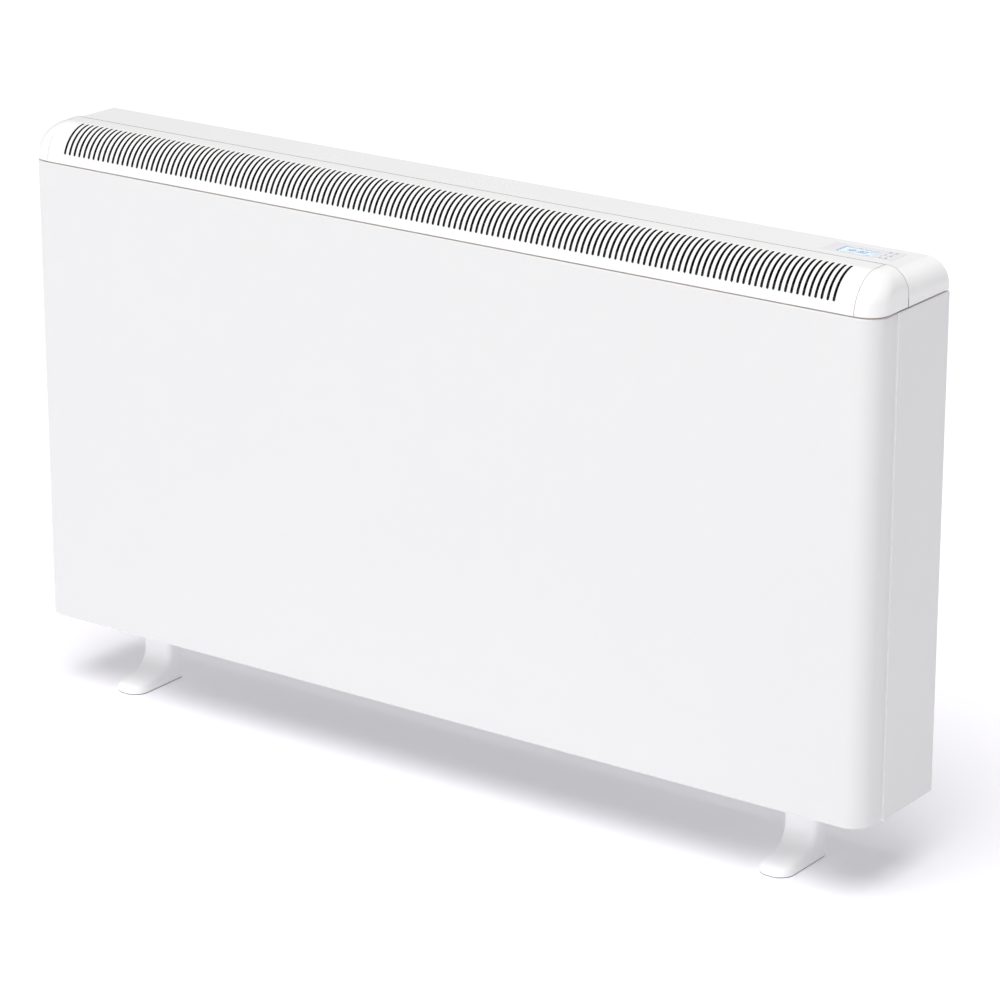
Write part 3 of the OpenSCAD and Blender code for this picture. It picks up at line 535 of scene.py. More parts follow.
FINISHES: tuple[Finish | ClearFinish | DisplayFinish, ...] = (
    Finish("powder_white", "painted_steel", (0.835, 0.835, 0.83), 0.42, Grain.PEEL,
           1.1 * MM, 0.012 * MM, coat=0.4, shade=0.006),
    Finish("gloss_white", "gloss_white", (0.97, 0.97, 0.965), 0.24, Grain.MOULDED,
           0.8 * MM, 0.004 * MM, coat=0.3, shade=0.005),
    Finish("cover_white", "gloss_white", (0.97, 0.97, 0.97), 0.26, Grain.MOULDED,
           0.8 * MM, 0.004 * MM, coat=0.25, shade=0.005),
    # The feet glow a little in their own colour: painted light that brightens them.
    Finish("foot_white", "foot_white", (0.92, 0.92, 0.925), 0.34, Grain.MOULDED,
           0.9 * MM, 0.01 * MM, coat=0.1, shade=0.01, drift=0.05, lift=0.14),
    Finish("fascia_film", "fascia_lilac", (0.92, 0.915, 0.96), 0.22, Grain.MOULDED,
           0.5 * MM, 0.003 * MM, coat=0.3, shade=0.012, drift=0.03),
    Finish("key_grey", "key_grey", (0.8, 0.805, 0.82), 0.5, Grain.MOULDED,
           0.4 * MM, 0.02 * MM, shade=0.04, drift=0.01),
    Finish("ink_dark", "black_plastic", (0.05, 0.06, 0.11), 0.3, Grain.MOULDED,
           0.3 * MM, 0.002 * MM, shade=0.06, drift=0.01),
    # Black moulded plastic for the gland and the switches; on the grille's slot walls and
    # inside, and on the top cover's lowest and front faces, the same black is painted shade.
    Finish("black_moulded", "black_plastic", (0.03, 0.03, 0.033), 0.5, Grain.MOULDED,
           0.6 * MM, 0.03 * MM, shade=0.15, drift=0.02),
    # Grey-brown painted shade: the seam under the top mouldings, the grille's ends against the
    # domes, and the crease at each dome's rear edge.
    Finish("joint_grey", "black_plastic", (0.52, 0.45, 0.41), 0.6, Grain.MOULDED,
           0.6 * MM, 0.03 * MM, shade=0.1, drift=0.02),
    Finish("ivory_moulded", "ivory_plastic", (0.74, 0.7, 0.6), 0.45, Grain.MOULDED,
           0.7 * MM, 0.02 * MM, shade=0.04, drift=0.03),
    Finish("red_moulded", "red_plastic", (0.6, 0.05, 0.035), 0.4, Grain.MOULDED,
           0.4 * MM, 0.01 * MM, shade=0.08, drift=0.01),
    Finish("solder_mask", "board_green", (0.03, 0.2, 0.08), 0.3, Grain.TRACKS,
           3 * MM, 0.03 * MM, coat=0.4, shade=0.2, drift=0.02),
    Finish("galvanised", "galvanised", (0.6, 0.61, 0.63), 0.42, Grain.SPANGLE,
           9 * MM, 0.008 * MM, metallic=0.9, shade=0.07, spread=0.1, drift=0.12),
    Finish("zinc_screw", "screw_zinc", (0.68, 0.68, 0.7), 0.32, Grain.BRUSHED,
           0.4 * MM, 0.006 * MM, metallic=1, shade=0.06, drift=0.01),
    Finish("dark_sheath", "sheath", (0.2, 0.19, 0.185), 0.55, Grain.BRUSHED,
           1.2 * MM, 0.02 * MM, metallic=0.8, shade=0.15, spread=0.12, drift=0.05),
    Finish("copper_alloy", "copper_alloy", (0.72, 0.5, 0.24), 0.3, Grain.BRUSHED,
           0.5 * MM, 0.008 * MM, metallic=1, shade=0.08, drift=0.02),
    Finish("magnetite", "brick", (0.1, 0.078, 0.07), 0.85, Grain.PORES,
           3 * MM, 0.35 * MM, shade=0.25, drift=0.08),
    Finish("mineral_board", "insulation", (0.7, 0.65, 0.54), 0.95, Grain.FIBRE,
           2.5 * MM, 0.3 * MM, shade=0.09, drift=0.1),
    Finish("sole_rubber", "rubber_grey", (0.34, 0.345, 0.35), 0.8, Grain.MOULDED,
           0.7 * MM, 0.08 * MM, shade=0.12, drift=0.02),
    Finish("silicone_wire", "wire_sleeve", (0.45, 0.05, 0.035), 0.42, Grain.MOULDED,
           0.9 * MM, 0.02 * MM, shade=0.08, drift=0.03),
    ClearFinish(),
    DisplayFinish(),
)


class Palette:
    """Every finish, built once and looked up by name."""

    def __init__(self) -> None:
        """Builds all the materials."""
        self._finishes = {finish.name: finish for finish in FINISHES}
        self._materials = {finish.name: finish.build() for finish in FINISHES}

    def material(self, name: str) -> bpy.types.Material:
        """The material of that name."""
        return self._materials[name]

    def slot(self, name: str) -> str:
        """The record's slot that the finish belongs to."""
        return self._finishes[name].slot


# ---------------------------------------------------------------- mesh tools


def rounded_rect(
    width: float, depth: float, radius: float, steps: int = 4, centre: Point2 = (0, 0)
) -> list[Point2]:
    """Outline of a rectangle with round corners, anticlockwise.

    Args:
        width: size along x.
        depth: size along y.
        radius: radius of the corners.
        steps: segments in each corner.
        centre: middle of the rectangle.

    Returns:
        The outline's points.
    """
    radius = min(radius, width / 2, depth / 2)
    corners = ((1, 1, 0), (-1, 1, 90), (-1, -1, 180), (1, -1, 270))
    points = []
    for sx, sy, start in corners:
        cx, cy = sx * (width / 2 - radius), sy * (depth / 2 - radius)
        for k in range(steps + 1):
            angle = math.radians(start + 90 * k / steps)
            points.append(
                (
                    centre[0] + cx + radius * math.cos(angle),
                    centre[1] + cy + radius * math.sin(angle),
                )
            )
    return points


def loft(
    bm: bmesh.types.BMesh,
    rings: Sequence[Sequence[Sequence[float]]],
    closed: bool = True,
    ends: bool = True,
) -> None:
    """Joins rings of points with faces.

    Args:
        bm: the mesh that takes them.
        rings: rings of equal length.
        closed: whether each ring closes on itself.
        ends: whether the first and last rings get a face.
    """
    rows = [[bm.verts.new(point) for point in ring] for ring in rings]
    count = len(rows[0])
    for low, high in zip(rows, rows[1:]):
        for k in range(count if closed else count - 1):
            n = (k + 1) % count
            bm.faces.new((low[k], low[n], high[n], high[k]))
    if ends:
        bm.faces.new(rows[0][::-1])
        bm.faces.new(rows[-1])


def box(bm: bmesh.types.BMesh, low: Sequence[float], high: Sequence[float]) -> None:
    """Adds a box between two corners.

    Args:
        bm: the mesh that takes it.
        low: lowest corner.
        high: highest corner.
    """
    rings = [
        [(low[0], low[1], z), (high[0], low[1], z), (high[0], high[1], z), (low[0], high[1], z)]
        for z in (low[2], high[2])
    ]
    loft(bm, rings)


def plate(
    outline: Sequence[Point2], holes: Sequence[Sequence[Point2]], low: float, high: float
) -> bmesh.types.BMesh:
    """A flat plate with holes, lying in its own x and y.

    Args:
        outline: the plate's outline.
        holes: outlines of the holes.
        low: height of its underside.
        high: height of its face.

    Returns:
        The plate's mesh.
    """
    bm = bmesh.new()
    edges = []
    for loop in (outline, *holes):
        points = [p for k, p in enumerate(loop) if math.dist(p, loop[k - 1]) > FINE_WELD]
        ring = [bm.verts.new((x, y, low)) for x, y in points]
        edges += [bm.edges.new((ring[k - 1], ring[k])) for k in range(len(ring))]
    bmesh.ops.triangle_fill(bm, use_beauty=True, use_dissolve=False, edges=edges)
    raised = bmesh.ops.extrude_face_region(bm, geom=bm.faces[:])
    verts = [v for v in raised["geom"] if isinstance(v, bmesh.types.BMVert)]
    bmesh.ops.translate(bm, verts=verts, vec=(0, 0, high - low))
    return bm


def lathe(bm: bmesh.types.BMesh, profile: Sequence[Point2], segments: int) -> None:
    """Turns a profile of radius and height round z.

    Args:
        bm: the mesh that takes it.
        profile: radius and height of each ring, from one end to the other.
        segments: points round it.
    """
    turns = [2 * math.pi * k / segments for k in range(segments)]
    loft(bm, [[(r * math.cos(a), r * math.sin(a), z) for a in turns] for r, z in profile])


def shade(bm: bmesh.types.BMesh, limit: float = 32.0) -> None:
    """Turns normals outward, shades smooth, and keeps edges sharp above an angle.

    Args:
        bm: the mesh.
        limit: the angle in degrees.
    """
    bmesh.ops.recalc_face_normals(bm, faces=bm.faces[:])
    for face in bm.faces:
        face.smooth = True
    for edge in bm.edges:
        edge.smooth = edge.is_manifold and edge.calc_face_angle(0) < math.radians(limit)


def to_object(name: str, bm: bmesh.types.BMesh, place: Matrix | None = None) -> bpy.types.Object:
    """Turns a mesh under construction into an object at the origin.

    Args:
        name: the object's name.
        bm: the mesh, which is freed.
        place: what its points are multiplied by.

    Returns:
        The object, linked to the scene.
    """
    if place is not None:
        bmesh.ops.transform(bm, matrix=place, verts=bm.verts[:])
    mesh = bpy.data.meshes.new(name)
    bm.to_mesh(mesh)
    bm.free()
    obj = bpy.data.objects.new(name, mesh)
    bpy.context.scene.collection.objects.link(obj)
    return obj


@contextmanager
def opened(obj: bpy.types.Object) -> Iterator[bmesh.types.BMesh]:
    """Opens an object's mesh for changes, and writes it back afterwards.

    Args:
        obj: the object.

    Yields:
        The mesh under construction.
    """
    bm = bmesh.new()
    bm.from_mesh(obj.data)
    yield bm
    bm.to_mesh(obj.data)
    bm.free()


def settle(obj: bpy.types.Object) -> bpy.types.Object:
    """Replaces an object's mesh by the result of its modifiers.

    Args:
        obj: the object.

    Returns:
        The same object, without modifiers.
    """
    graph = bpy.context.evaluated_depsgraph_get()
    graph.update()
    mesh = bpy.data.meshes.new_from_object(
        obj.evaluated_get(graph), preserve_all_data_layers=True, depsgraph=graph
    )
    obj.modifiers.clear()
    obj.data = mesh
    mesh.name = obj.name
    return obj


def soften(
    obj: bpy.types.Object, width: float, segments: int = 2, angle: float = 40.0
) -> bpy.types.Object:
    """Rounds an object's sharp edges and evens its shading.

    Args:
        obj: the object.
        width: width of the rounding.
        segments: faces across it.
        angle: least angle of an edge that is rounded, in degrees.

    Returns:
        The same object.
    """
    bevel = obj.modifiers.new("bevel", "BEVEL")
    bevel.width, bevel.segments = width, segments
    bevel.limit_method, bevel.angle_limit = "ANGLE", math.radians(angle)
    bevel.use_clamp_overlap = False
    settle(obj)
    with opened(obj) as bm:
        shade(bm, SOFT_ANGLE)
    normals = obj.modifiers.new("normals", "WEIGHTED_NORMAL")
    normals.keep_sharp = True
    return settle(obj)


def carve(obj: bpy.types.Object, *cutters: bpy.types.Object) -> bpy.types.Object:
    """Cuts other objects out of an object, and removes them.

    Args:
        obj: what is cut.
        cutters: what cuts it, one after another.

    Returns:
        The same object.
    """
    for cutter in cutters:
        cut = obj.modifiers.new("cut", "BOOLEAN")
        cut.operation, cut.solver, cut.object = "DIFFERENCE", "EXACT", cutter
        settle(obj)
        bpy.data.objects.remove(cutter)
    return obj


def place_piece(
    obj: bpy.types.Object,
    palette: Palette,
    finish: str,
    body: str = CASE,
    replaces: Sequence[str] = (),
) -> bpy.types.Object:
    """Gives a piece its finish and its body, and reports it.

    Args:
        obj: the piece.
        palette: the finishes.
        finish: name of the piece's finish.
        body: the body that it rides on.
        replaces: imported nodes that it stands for.

    Returns:
        The same object.
    """
    obj.data.materials.clear()
    obj.data.materials.append(palette.material(finish))
    if replaces:
        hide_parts(*replaces)
    palette.slot(finish)
    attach(obj, body)
    log.info("piece %s: %d faces, %s, on %s", obj.name, len(obj.data.polygons), finish, body)
    return obj


def second_finish(
    obj: bpy.types.Object,
    palette: Palette,
    finish: str,
    test: Callable[[Vector], bool],
) -> bpy.types.Object:
    """Gives another finish to the faces whose middle passes a test.

    Args:
        obj: the piece, which already has its main finish.
        palette: the finishes.
        finish: name of the second finish.
        test: tells from a face's middle whether it takes the second finish.

    Returns:
        The same object.
    """
    obj.data.materials.append(palette.material(finish))
    index = len(obj.data.materials) - 1
    for polygon in obj.data.polygons:
        if test(polygon.center):
            polygon.material_index = index
    return obj


# ---------------------------------------------------------------- geometry nodes


class Socket(Enum):
    """Kinds of inputs that the node trees take."""

    GEOMETRY = "NodeSocketGeometry"
    COUNT = "NodeSocketInt"
    LENGTH = "NodeSocketFloat"
    OBJECT = "NodeSocketObject"
    MATERIAL = "NodeSocketMaterial"


def new_tree(name: str, inputs: Sequence[tuple[str, Socket]]) -> bpy.types.NodeTree:
    """Starts a geometry tree with named inputs.

    Args:
        name: the tree's name.
        inputs: name and kind of each input after the geometry.

    Returns:
        The tree, with its input and output nodes.
    """
    tree = bpy.data.node_groups.new(name, "GeometryNodeTree")
    for label, kind in (("Geometry", Socket.GEOMETRY), *inputs):
        tree.interface.new_socket(label, in_out="INPUT", socket_type=kind.value)
    tree.interface.new_socket("Geometry", in_out="OUTPUT", socket_type=Socket.GEOMETRY.value)
    tree.nodes.new("NodeGroupInput")
    tree.nodes.new("NodeGroupOutput")
    return tree


def finish_tree(tree: bpy.types.NodeTree, instances: bpy.types.NodeSocket) -> None:
    """Realises the instances, welds them and sets their material.

    Args:
        tree: the tree.
        instances: the socket that gives the instances.
    """
    source = tree.nodes["Group Input"].outputs
    real = tree.nodes.new("GeometryNodeRealizeInstances")
    weld = tree.nodes.new("GeometryNodeMergeByDistance")
    paint = tree.nodes.new("GeometryNodeSetMaterial")
    weld.inputs["Distance"].default_value = WELD
    tree.links.new(instances, real.inputs[0])
    tree.links.new(real.outputs[0], weld.inputs[0])
    tree.links.new(weld.outputs[0], paint.inputs["Geometry"])
    tree.links.new(source["Material"], paint.inputs["Material"])
    tree.links.new(paint.outputs[0], tree.nodes["Group Output"].inputs[0])


def row_tree() -> bpy.types.NodeTree:
    """A tree that repeats its own geometry along x.

    Returns:
        The tree, with inputs Count, Pitch and Material.
    """
    tree = new_tree(
        "row_along_x",
        [("Count", Socket.COUNT), ("Pitch", Socket.LENGTH), ("Material", Socket.MATERIAL)],
    )
    nodes, links = tree.nodes, tree.links
    source = nodes["Group Input"].outputs
    steps = nodes.new("ShaderNodeMath")
    steps.operation = "SUBTRACT"
    steps.inputs[1].default_value = 1
    half = nodes.new("ShaderNodeMath")
    half.operation = "MULTIPLY"
    half.inputs[1].default_value = -0.5
    start = nodes.new("ShaderNodeMath")
    start.operation = "MULTIPLY"
    first, step = nodes.new("ShaderNodeCombineXYZ"), nodes.new("ShaderNodeCombineXYZ")
    line = nodes.new("GeometryNodeMeshLine")
    spread = nodes.new("GeometryNodeInstanceOnPoints")
    links.new(source["Count"], steps.inputs[0])
    links.new(steps.outputs[0], half.inputs[0])
    links.new(half.outputs[0], start.inputs[0])
    links.new(source["Pitch"], start.inputs[1])
    links.new(start.outputs[0], first.inputs["X"])
    links.new(source["Pitch"], step.inputs["X"])
    links.new(source["Count"], line.inputs["Count"])
    links.new(first.outputs[0], line.inputs["Start Location"])
    links.new(step.outputs[0], line.inputs["Offset"])
    links.new(line.outputs[0], spread.inputs["Points"])
    links.new(source["Geometry"], spread.inputs["Instance"])
    finish_tree(tree, spread.outputs[0])
    return tree


def scatter_tree() -> bpy.types.NodeTree:
    """A tree that puts one piece at every point, turned by the point's own angles.

    Returns:
        The tree, with inputs Piece and Material.
    """
    tree = new_tree(
        "piece_on_points", [("Piece", Socket.OBJECT), ("Material", Socket.MATERIAL)]
    )
    nodes, links = tree.nodes, tree.links
    source = nodes["Group Input"].outputs
    info = nodes.new("GeometryNodeObjectInfo")
    turn = nodes.new("GeometryNodeInputNamedAttribute")
    turn.data_type = "FLOAT_VECTOR"
    turn.inputs["Name"].default_value = "turn"
    angles = nodes.new("FunctionNodeEulerToRotation")
    spread = nodes.new("GeometryNodeInstanceOnPoints")
    links.new(source["Piece"], info.inputs["Object"])
    links.new(source["Geometry"], spread.inputs["Points"])
    links.new(info.outputs["Geometry"], spread.inputs["Instance"])
    links.new(turn.outputs["Attribute"], angles.inputs[0])
    links.new(angles.outputs[0], spread.inputs["Rotation"])
    finish_tree(tree, spread.outputs[0])
    return tree


def run_tree(
    obj: bpy.types.Object, tree: bpy.types.NodeTree, values: dict[str, object]
) -> bpy.types.Object:
    """Runs a tree on an object and keeps the resulting mesh.

    Args:
        obj: the object.
        tree: the tree.
        values: the named inputs' values.

    Returns:
        The same object.
    """
    modifier = obj.modifiers.new("repeat", "NODES")
    modifier.node_group = tree
    for item in tree.interface.items_tree:
        if item.in_out == "INPUT" and item.name in values:
            modifier[item.identifier] = values[item.name]
    return settle(obj)


@dataclass(frozen=True)
class Spot:
    """A place for a repeated piece, and the angles that it is turned by."""

    at: Point3
    turn: Point3 = (0.0, 0.0, 0.0)


def spots_object(name: str, spots: Sequence[Spot]) -> bpy.types.Object:
    """An object with one loose point for each spot.

    Args:
        name: the object's name.
        spots: the places.

    Returns:
        The object, with the angles as its attribute.
    """
    mesh = bpy.data.meshes.new(name)
    mesh.from_pydata([spot.at for spot in spots], [], [])
    turn = mesh.attributes.new("turn", "FLOAT_VECTOR", "POINT")
    for item, spot in zip(turn.data, spots):
        item.vector = spot.turn
    obj = bpy.data.objects.new(name, mesh)
    bpy.context.scene.collection.objects.link(obj)
    return obj


# ---------------------------------------------------------------- case


class Side(Enum):
    """Left or right end, as seen from the front."""

    LEFT = -1
    RIGHT = 1

    @property
    def word(self) -> str:
        """The side's name."""
        return self.name.lower()


@dataclass
class CasePanels:
    """Folded steel of the case: front, two sides and rear, and their screws."""

    sizes: HeaterSizes
    palette: Palette
    bend_r: float = 2.0 * MM
    side_bend_r: float = 0.5 * MM
    side_top_r: float = 2.0 * MM
    bend_steps: int = 5
    corner_steps: int = 14
    rib_w: float = 14 * MM
    rib_rise: float = 1.4 * MM
    rib_count: int = 6
    vent: tuple[float, float] = (44 * MM, 3 * MM)
    vent_count: int = 9
    vent_pitch: float = 9 * MM
    wall_hole: tuple[float, float, float] = (21.5 * MM, 115 * MM, 380 * MM)
    wall_hole_r: float = 4.25 * MM
    screw_xs: tuple[float, ...] = (-0.42, -0.14, 0.14, 0.42)
    part_x: Point2 = (-561.3 * MM, 466.3 * MM)
    edge_r: float = 0.15 * MM
    rear_edge_r: float = 0.2 * MM
    rear_corner_r: float = 0.6 * MM
    vent_drop: float = 150 * MM
    vent_beside: float = 36 * MM
    rib_short: float = 100 * MM
    rib_top: float = 0.9
    rib_steps: int = 6
    screw_size: Point2 = (1.5 * MM, 4.4 * MM)
    screw_inset: float = 40 * MM
    screw_rows: int = 5
    screw_in: float = 1 * MM

    def _bent_edge(self, low: float, high: float) -> list[Point2]:
        """Section of a folded sheet as distance inward and height, closed on itself.

        Args:
            low: height of the lower fold.
            high: height of the upper fold.

        Returns:
            The section's points.
        """
        s, r, bend = self.sizes, self.bend_r, quarter(self.bend_steps)
        t, q = s.sheet_t, r - s.sheet_t
        outer = [(s.flange_w, low)]
        outer += [(r - r * math.sin(a), low + r - r * math.cos(a)) for a in bend]
        outer += [(r - r * math.cos(a), high - r + r * math.sin(a)) for a in bend]
        outer += [(s.flange_w, high), (s.flange_w, high - t)]
        inner = [(r - q * math.cos(a), high - r + q * math.sin(a)) for a in reversed(bend)]
        inner += [(r - q * math.cos(a), low + r - q * math.sin(a)) for a in bend]
        return outer + inner + [(s.flange_w, low + t)]

    def front(self) -> bpy.types.Object:
        """Front panel: one sheet folded round both upright corners and at top and bottom.

        Returns:
            The panel.
        """
        s = self.sizes
        stations: list[tuple[Vector, Vector]] = [
            (Vector((-s.wrap_x, s.wrap_y)), Vector((1, 0)))
        ]
        for side in (-1, 1):
            centre = Vector((side * (s.wrap_x - s.corner_r), s.front_y + s.corner_r))
            for a in quarter(self.corner_steps)[::-side]:
                out = Vector((side * math.cos(a), -math.sin(a)))
                stations.append((centre + s.corner_r * out, -out))
        stations.append((Vector((s.wrap_x, s.wrap_y)), Vector((-1, 0))))
        section = self._bent_edge(s.foot_h, s.seam_z)
        bm = bmesh.new()
        rings = [
            [(*(point + inward * d), z) for d, z in section] for point, inward in stations
        ]
        loft(bm, rings)
        bmesh.ops.triangulate(bm, faces=[f for f in bm.faces if len(f.verts) > 4])
        shade(bm, limit=34)
        obj = to_object("front_sheet", bm)
        return place_piece(obj, self.palette, "powder_white", replaces=["front_panel"])

    def side(self, side: Side) -> bpy.types.Object:
        """One side panel: a flat sheet with a folded front edge and welded flanges.

        Args:
            side: which end.

        Returns:
            The panel.
        """
        s, r, t = self.sizes, self.side_bend_r, self.sizes.sheet_t
        x0, x1, y0, y1 = s.half_w - s.flange_w, s.half_w, s.wrap_y, s.wall_y
        bend = quarter(self.bend_steps)
        section = [(x0, y0)]
        section += [(x1 - r + r * math.sin(a), y0 + r - r * math.cos(a)) for a in bend]
        section += [(x1, y1), (x1 - t, y1), (x1 - t, y0 + t), (x0, y0 + t)]
        top = self.side_top_r
        levels = [(0.0, s.foot_h)]
        levels += [(top * (1 - math.cos(a)), s.seam_z - top + top * math.sin(a)) for a in bend]
        bm = bmesh.new()
        wall = x1 - t - NEAR
        loft(
            bm, [[(x - d if x > wall else x, y, z) for x, y in section] for d, z in levels]
        )
        rear_in = s.rear_out - t
        inner = x1 - t
        box(bm, (x0, rear_in - t, s.foot_h), (inner, rear_in, s.seam_z - top))
        box(bm, (x0, y0 + t, s.foot_h), (inner, rear_in - t, s.foot_h + t))
        box(bm, (x0, y0 + t, s.seam_z - t), (inner - top, rear_in - t, s.seam_z))
        if side is Side.LEFT:
            bmesh.ops.scale(bm, vec=(-1, 1, 1), verts=bm.verts[:])
        shade(bm)
        obj = soften(to_object(f"side_sheet_{side.word}", bm), self.edge_r)
        return place_piece(
            obj, self.palette, "powder_white", replaces=[f"side_panel_{side.word}"]
        )

    def rear(self) -> bpy.types.Object:
        """Rear panel: a flat sheet with wall-fixing holes, vents and two flanges.

        Returns:
            The panel.
        """
        s, t = self.sizes, self.sizes.sheet_t
        outline = rounded_rect(s.case_w - 2 * t, s.panel_h, self.rear_corner_r, steps=2)
        holes = []
        inset, low, rise = self.wall_hole
        bore = 2 * self.wall_hole_r
        for side in (-1, 1):
            for z in (low, low + rise):
                centre = (side * (s.half_w - inset), z - s.panel_h / 2)
                holes.append(rounded_rect(bore, bore, self.wall_hole_r, 8, centre))
        for k in range(self.vent_count):
            z = s.panel_h / 2 - self.vent_drop + k * self.vent_pitch + self.vent[1] / 2
            centre = (self.part_x[1] + self.vent_beside, z)
            holes.append(rounded_rect(*self.vent, self.vent[1] / 2, 4, centre))
        bm = plate(outline, holes, -t, 0)
        place = Matrix.Translation((0, s.rear_out, s.foot_h + s.panel_h / 2)) @ Matrix(
            ((1, 0, 0, 0), (0, 0, 1, 0), (0, 1, 0, 0), (0, 0, 0, 1))
        )
        bmesh.ops.transform(bm, matrix=place, verts=bm.verts[:])
        rear_in, x = s.rear_out - t, s.half_w - s.flange_w
        for z in (s.foot_h, s.seam_z - t):
            box(bm, (-x, rear_in - s.flange_w, z), (x, rear_in, z + t))
        shade(bm)
        obj = soften(to_object("rear_sheet", bm), self.rear_edge_r, segments=1)
        return place_piece(obj, self.palette, "galvanised", replaces=["rear_panel"])

    def ribs(self) -> bpy.types.Object:
        """Stiffening beads pressed into the rear panel.

        Returns:
            The beads, as one piece.
        """
        s = self.sizes
        span = self.part_x[1] - self.part_x[0]
        length = s.panel_h - self.rib_short
        bm = bmesh.new()
        rings = []
        for a in quarter(self.rib_steps):
            inset = self.rib_w / 2 * (1 - math.cos(a)) * self.rib_top
            outline = rounded_rect(
                self.rib_w - 2 * inset, length - 2 * inset, self.rib_w / 2 - inset, steps=8
            )
            y = s.rear_out - NEAR + self.rib_rise * math.sin(a)
            rings.append([(x, y, s.foot_h + s.panel_h / 2 + z) for x, z in outline])
        loft(bm, rings)
        obj = to_object("rear_beads", bm)
        run_tree(
            obj,
            row_tree(),
            {
                "Count": self.rib_count,
                "Pitch": span / self.rib_count,
                "Material": self.palette.material("galvanised"),
            },
        )
        with opened(obj) as bm:
            shift = (self.part_x[0] + self.part_x[1]) / 2
            bmesh.ops.translate(bm, verts=bm.verts[:], vec=(shift, 0, 0))
            shade(bm, limit=60)
        return place_piece(obj, self.palette, "galvanised")

    def screws(self) -> bpy.types.Object:
        """Case screws, with domed heads and crossed recesses.

        Returns:
            The screws, as one piece.
        """
        s = self.sizes
        spots = []
        rear_x = s.half_w - s.flange_w + (s.flange_w - s.sheet_t) / 2
        pitch = (s.panel_h - 2 * self.screw_inset) / (self.screw_rows - 1)
        for x in (-rear_x, rear_x):
            for k in range(self.screw_rows):
                z = s.foot_h + self.screw_inset + k * pitch
                spots.append(Spot((x, s.rear_out, z), (-math.pi / 2, 0.35 * k, 0)))
        y = s.front_y + s.flange_w / 2 + self.screw_in
        for k, x in enumerate(self.screw_xs):
            spots.append(Spot((x, y, s.foot_h), (math.pi, 0, 0.5 * k)))
        piece = screw_piece("screw_pattern", *self.screw_size)
        obj = spots_object("case_screw_set", spots)
        run_tree(
            obj,
            scatter_tree(),
            {"Piece": piece, "Material": self.palette.material("zinc_screw")},
        )
        bpy.data.objects.remove(piece)
        return place_piece(obj, self.palette, "zinc_screw", replaces=["case_screws"])

    def build(self) -> None:
        """Builds every piece of the case."""
        self.front()
        for side in Side:
            self.side(side)
        self.rear()
        self.ribs()
        self.screws()


def screw_piece(name: str, radius: float, length: float) -> bpy.types.Object:
    """A pan-head screw that points down from its head at z = 0.

    Args:
        name: the object's name.
        radius: radius of the shank; the head is twice as wide.
        length: length of the shank.

    Returns:
        The screw.
    """
    head, rise, turns = 2 * radius, 2 * MM, 6
    rim, flat, root = 0.35, 0.55, 0.86
    profile = [(radius * 0.6, -length), (radius, -length + radius * 0.5)]
    for k in range(turns):
        z = -length + radius * 0.5 + (length - radius) * (k + 0.5) / turns
        profile.append((radius * (root if k % 2 else 1.0), z))
    profile += [(radius, -TOUCH), (head, 0), (head, rim * rise)]
    for a in quarter(6)[1:-1]:
        across = head * (flat + (1 - flat) * math.cos(a))
        profile.append((across, rise * (rim + (1 - rim) * math.sin(a))))
    bm = bmesh.new()
    lathe(bm, profile, segments=28)
    shade(bm, limit=40)
    screw = to_object(name, bm)
    wide, thin = head * flat, head * 0.13
    for x, y in ((thin, wide), (wide, thin)):
        bm = bmesh.new()
        box(bm, (-x, -y, rim * rise), (x, y, 2 * rise))
        carve(screw, to_object("recess", bm))
    return screw


# ---------------------------------------------------------------- cap


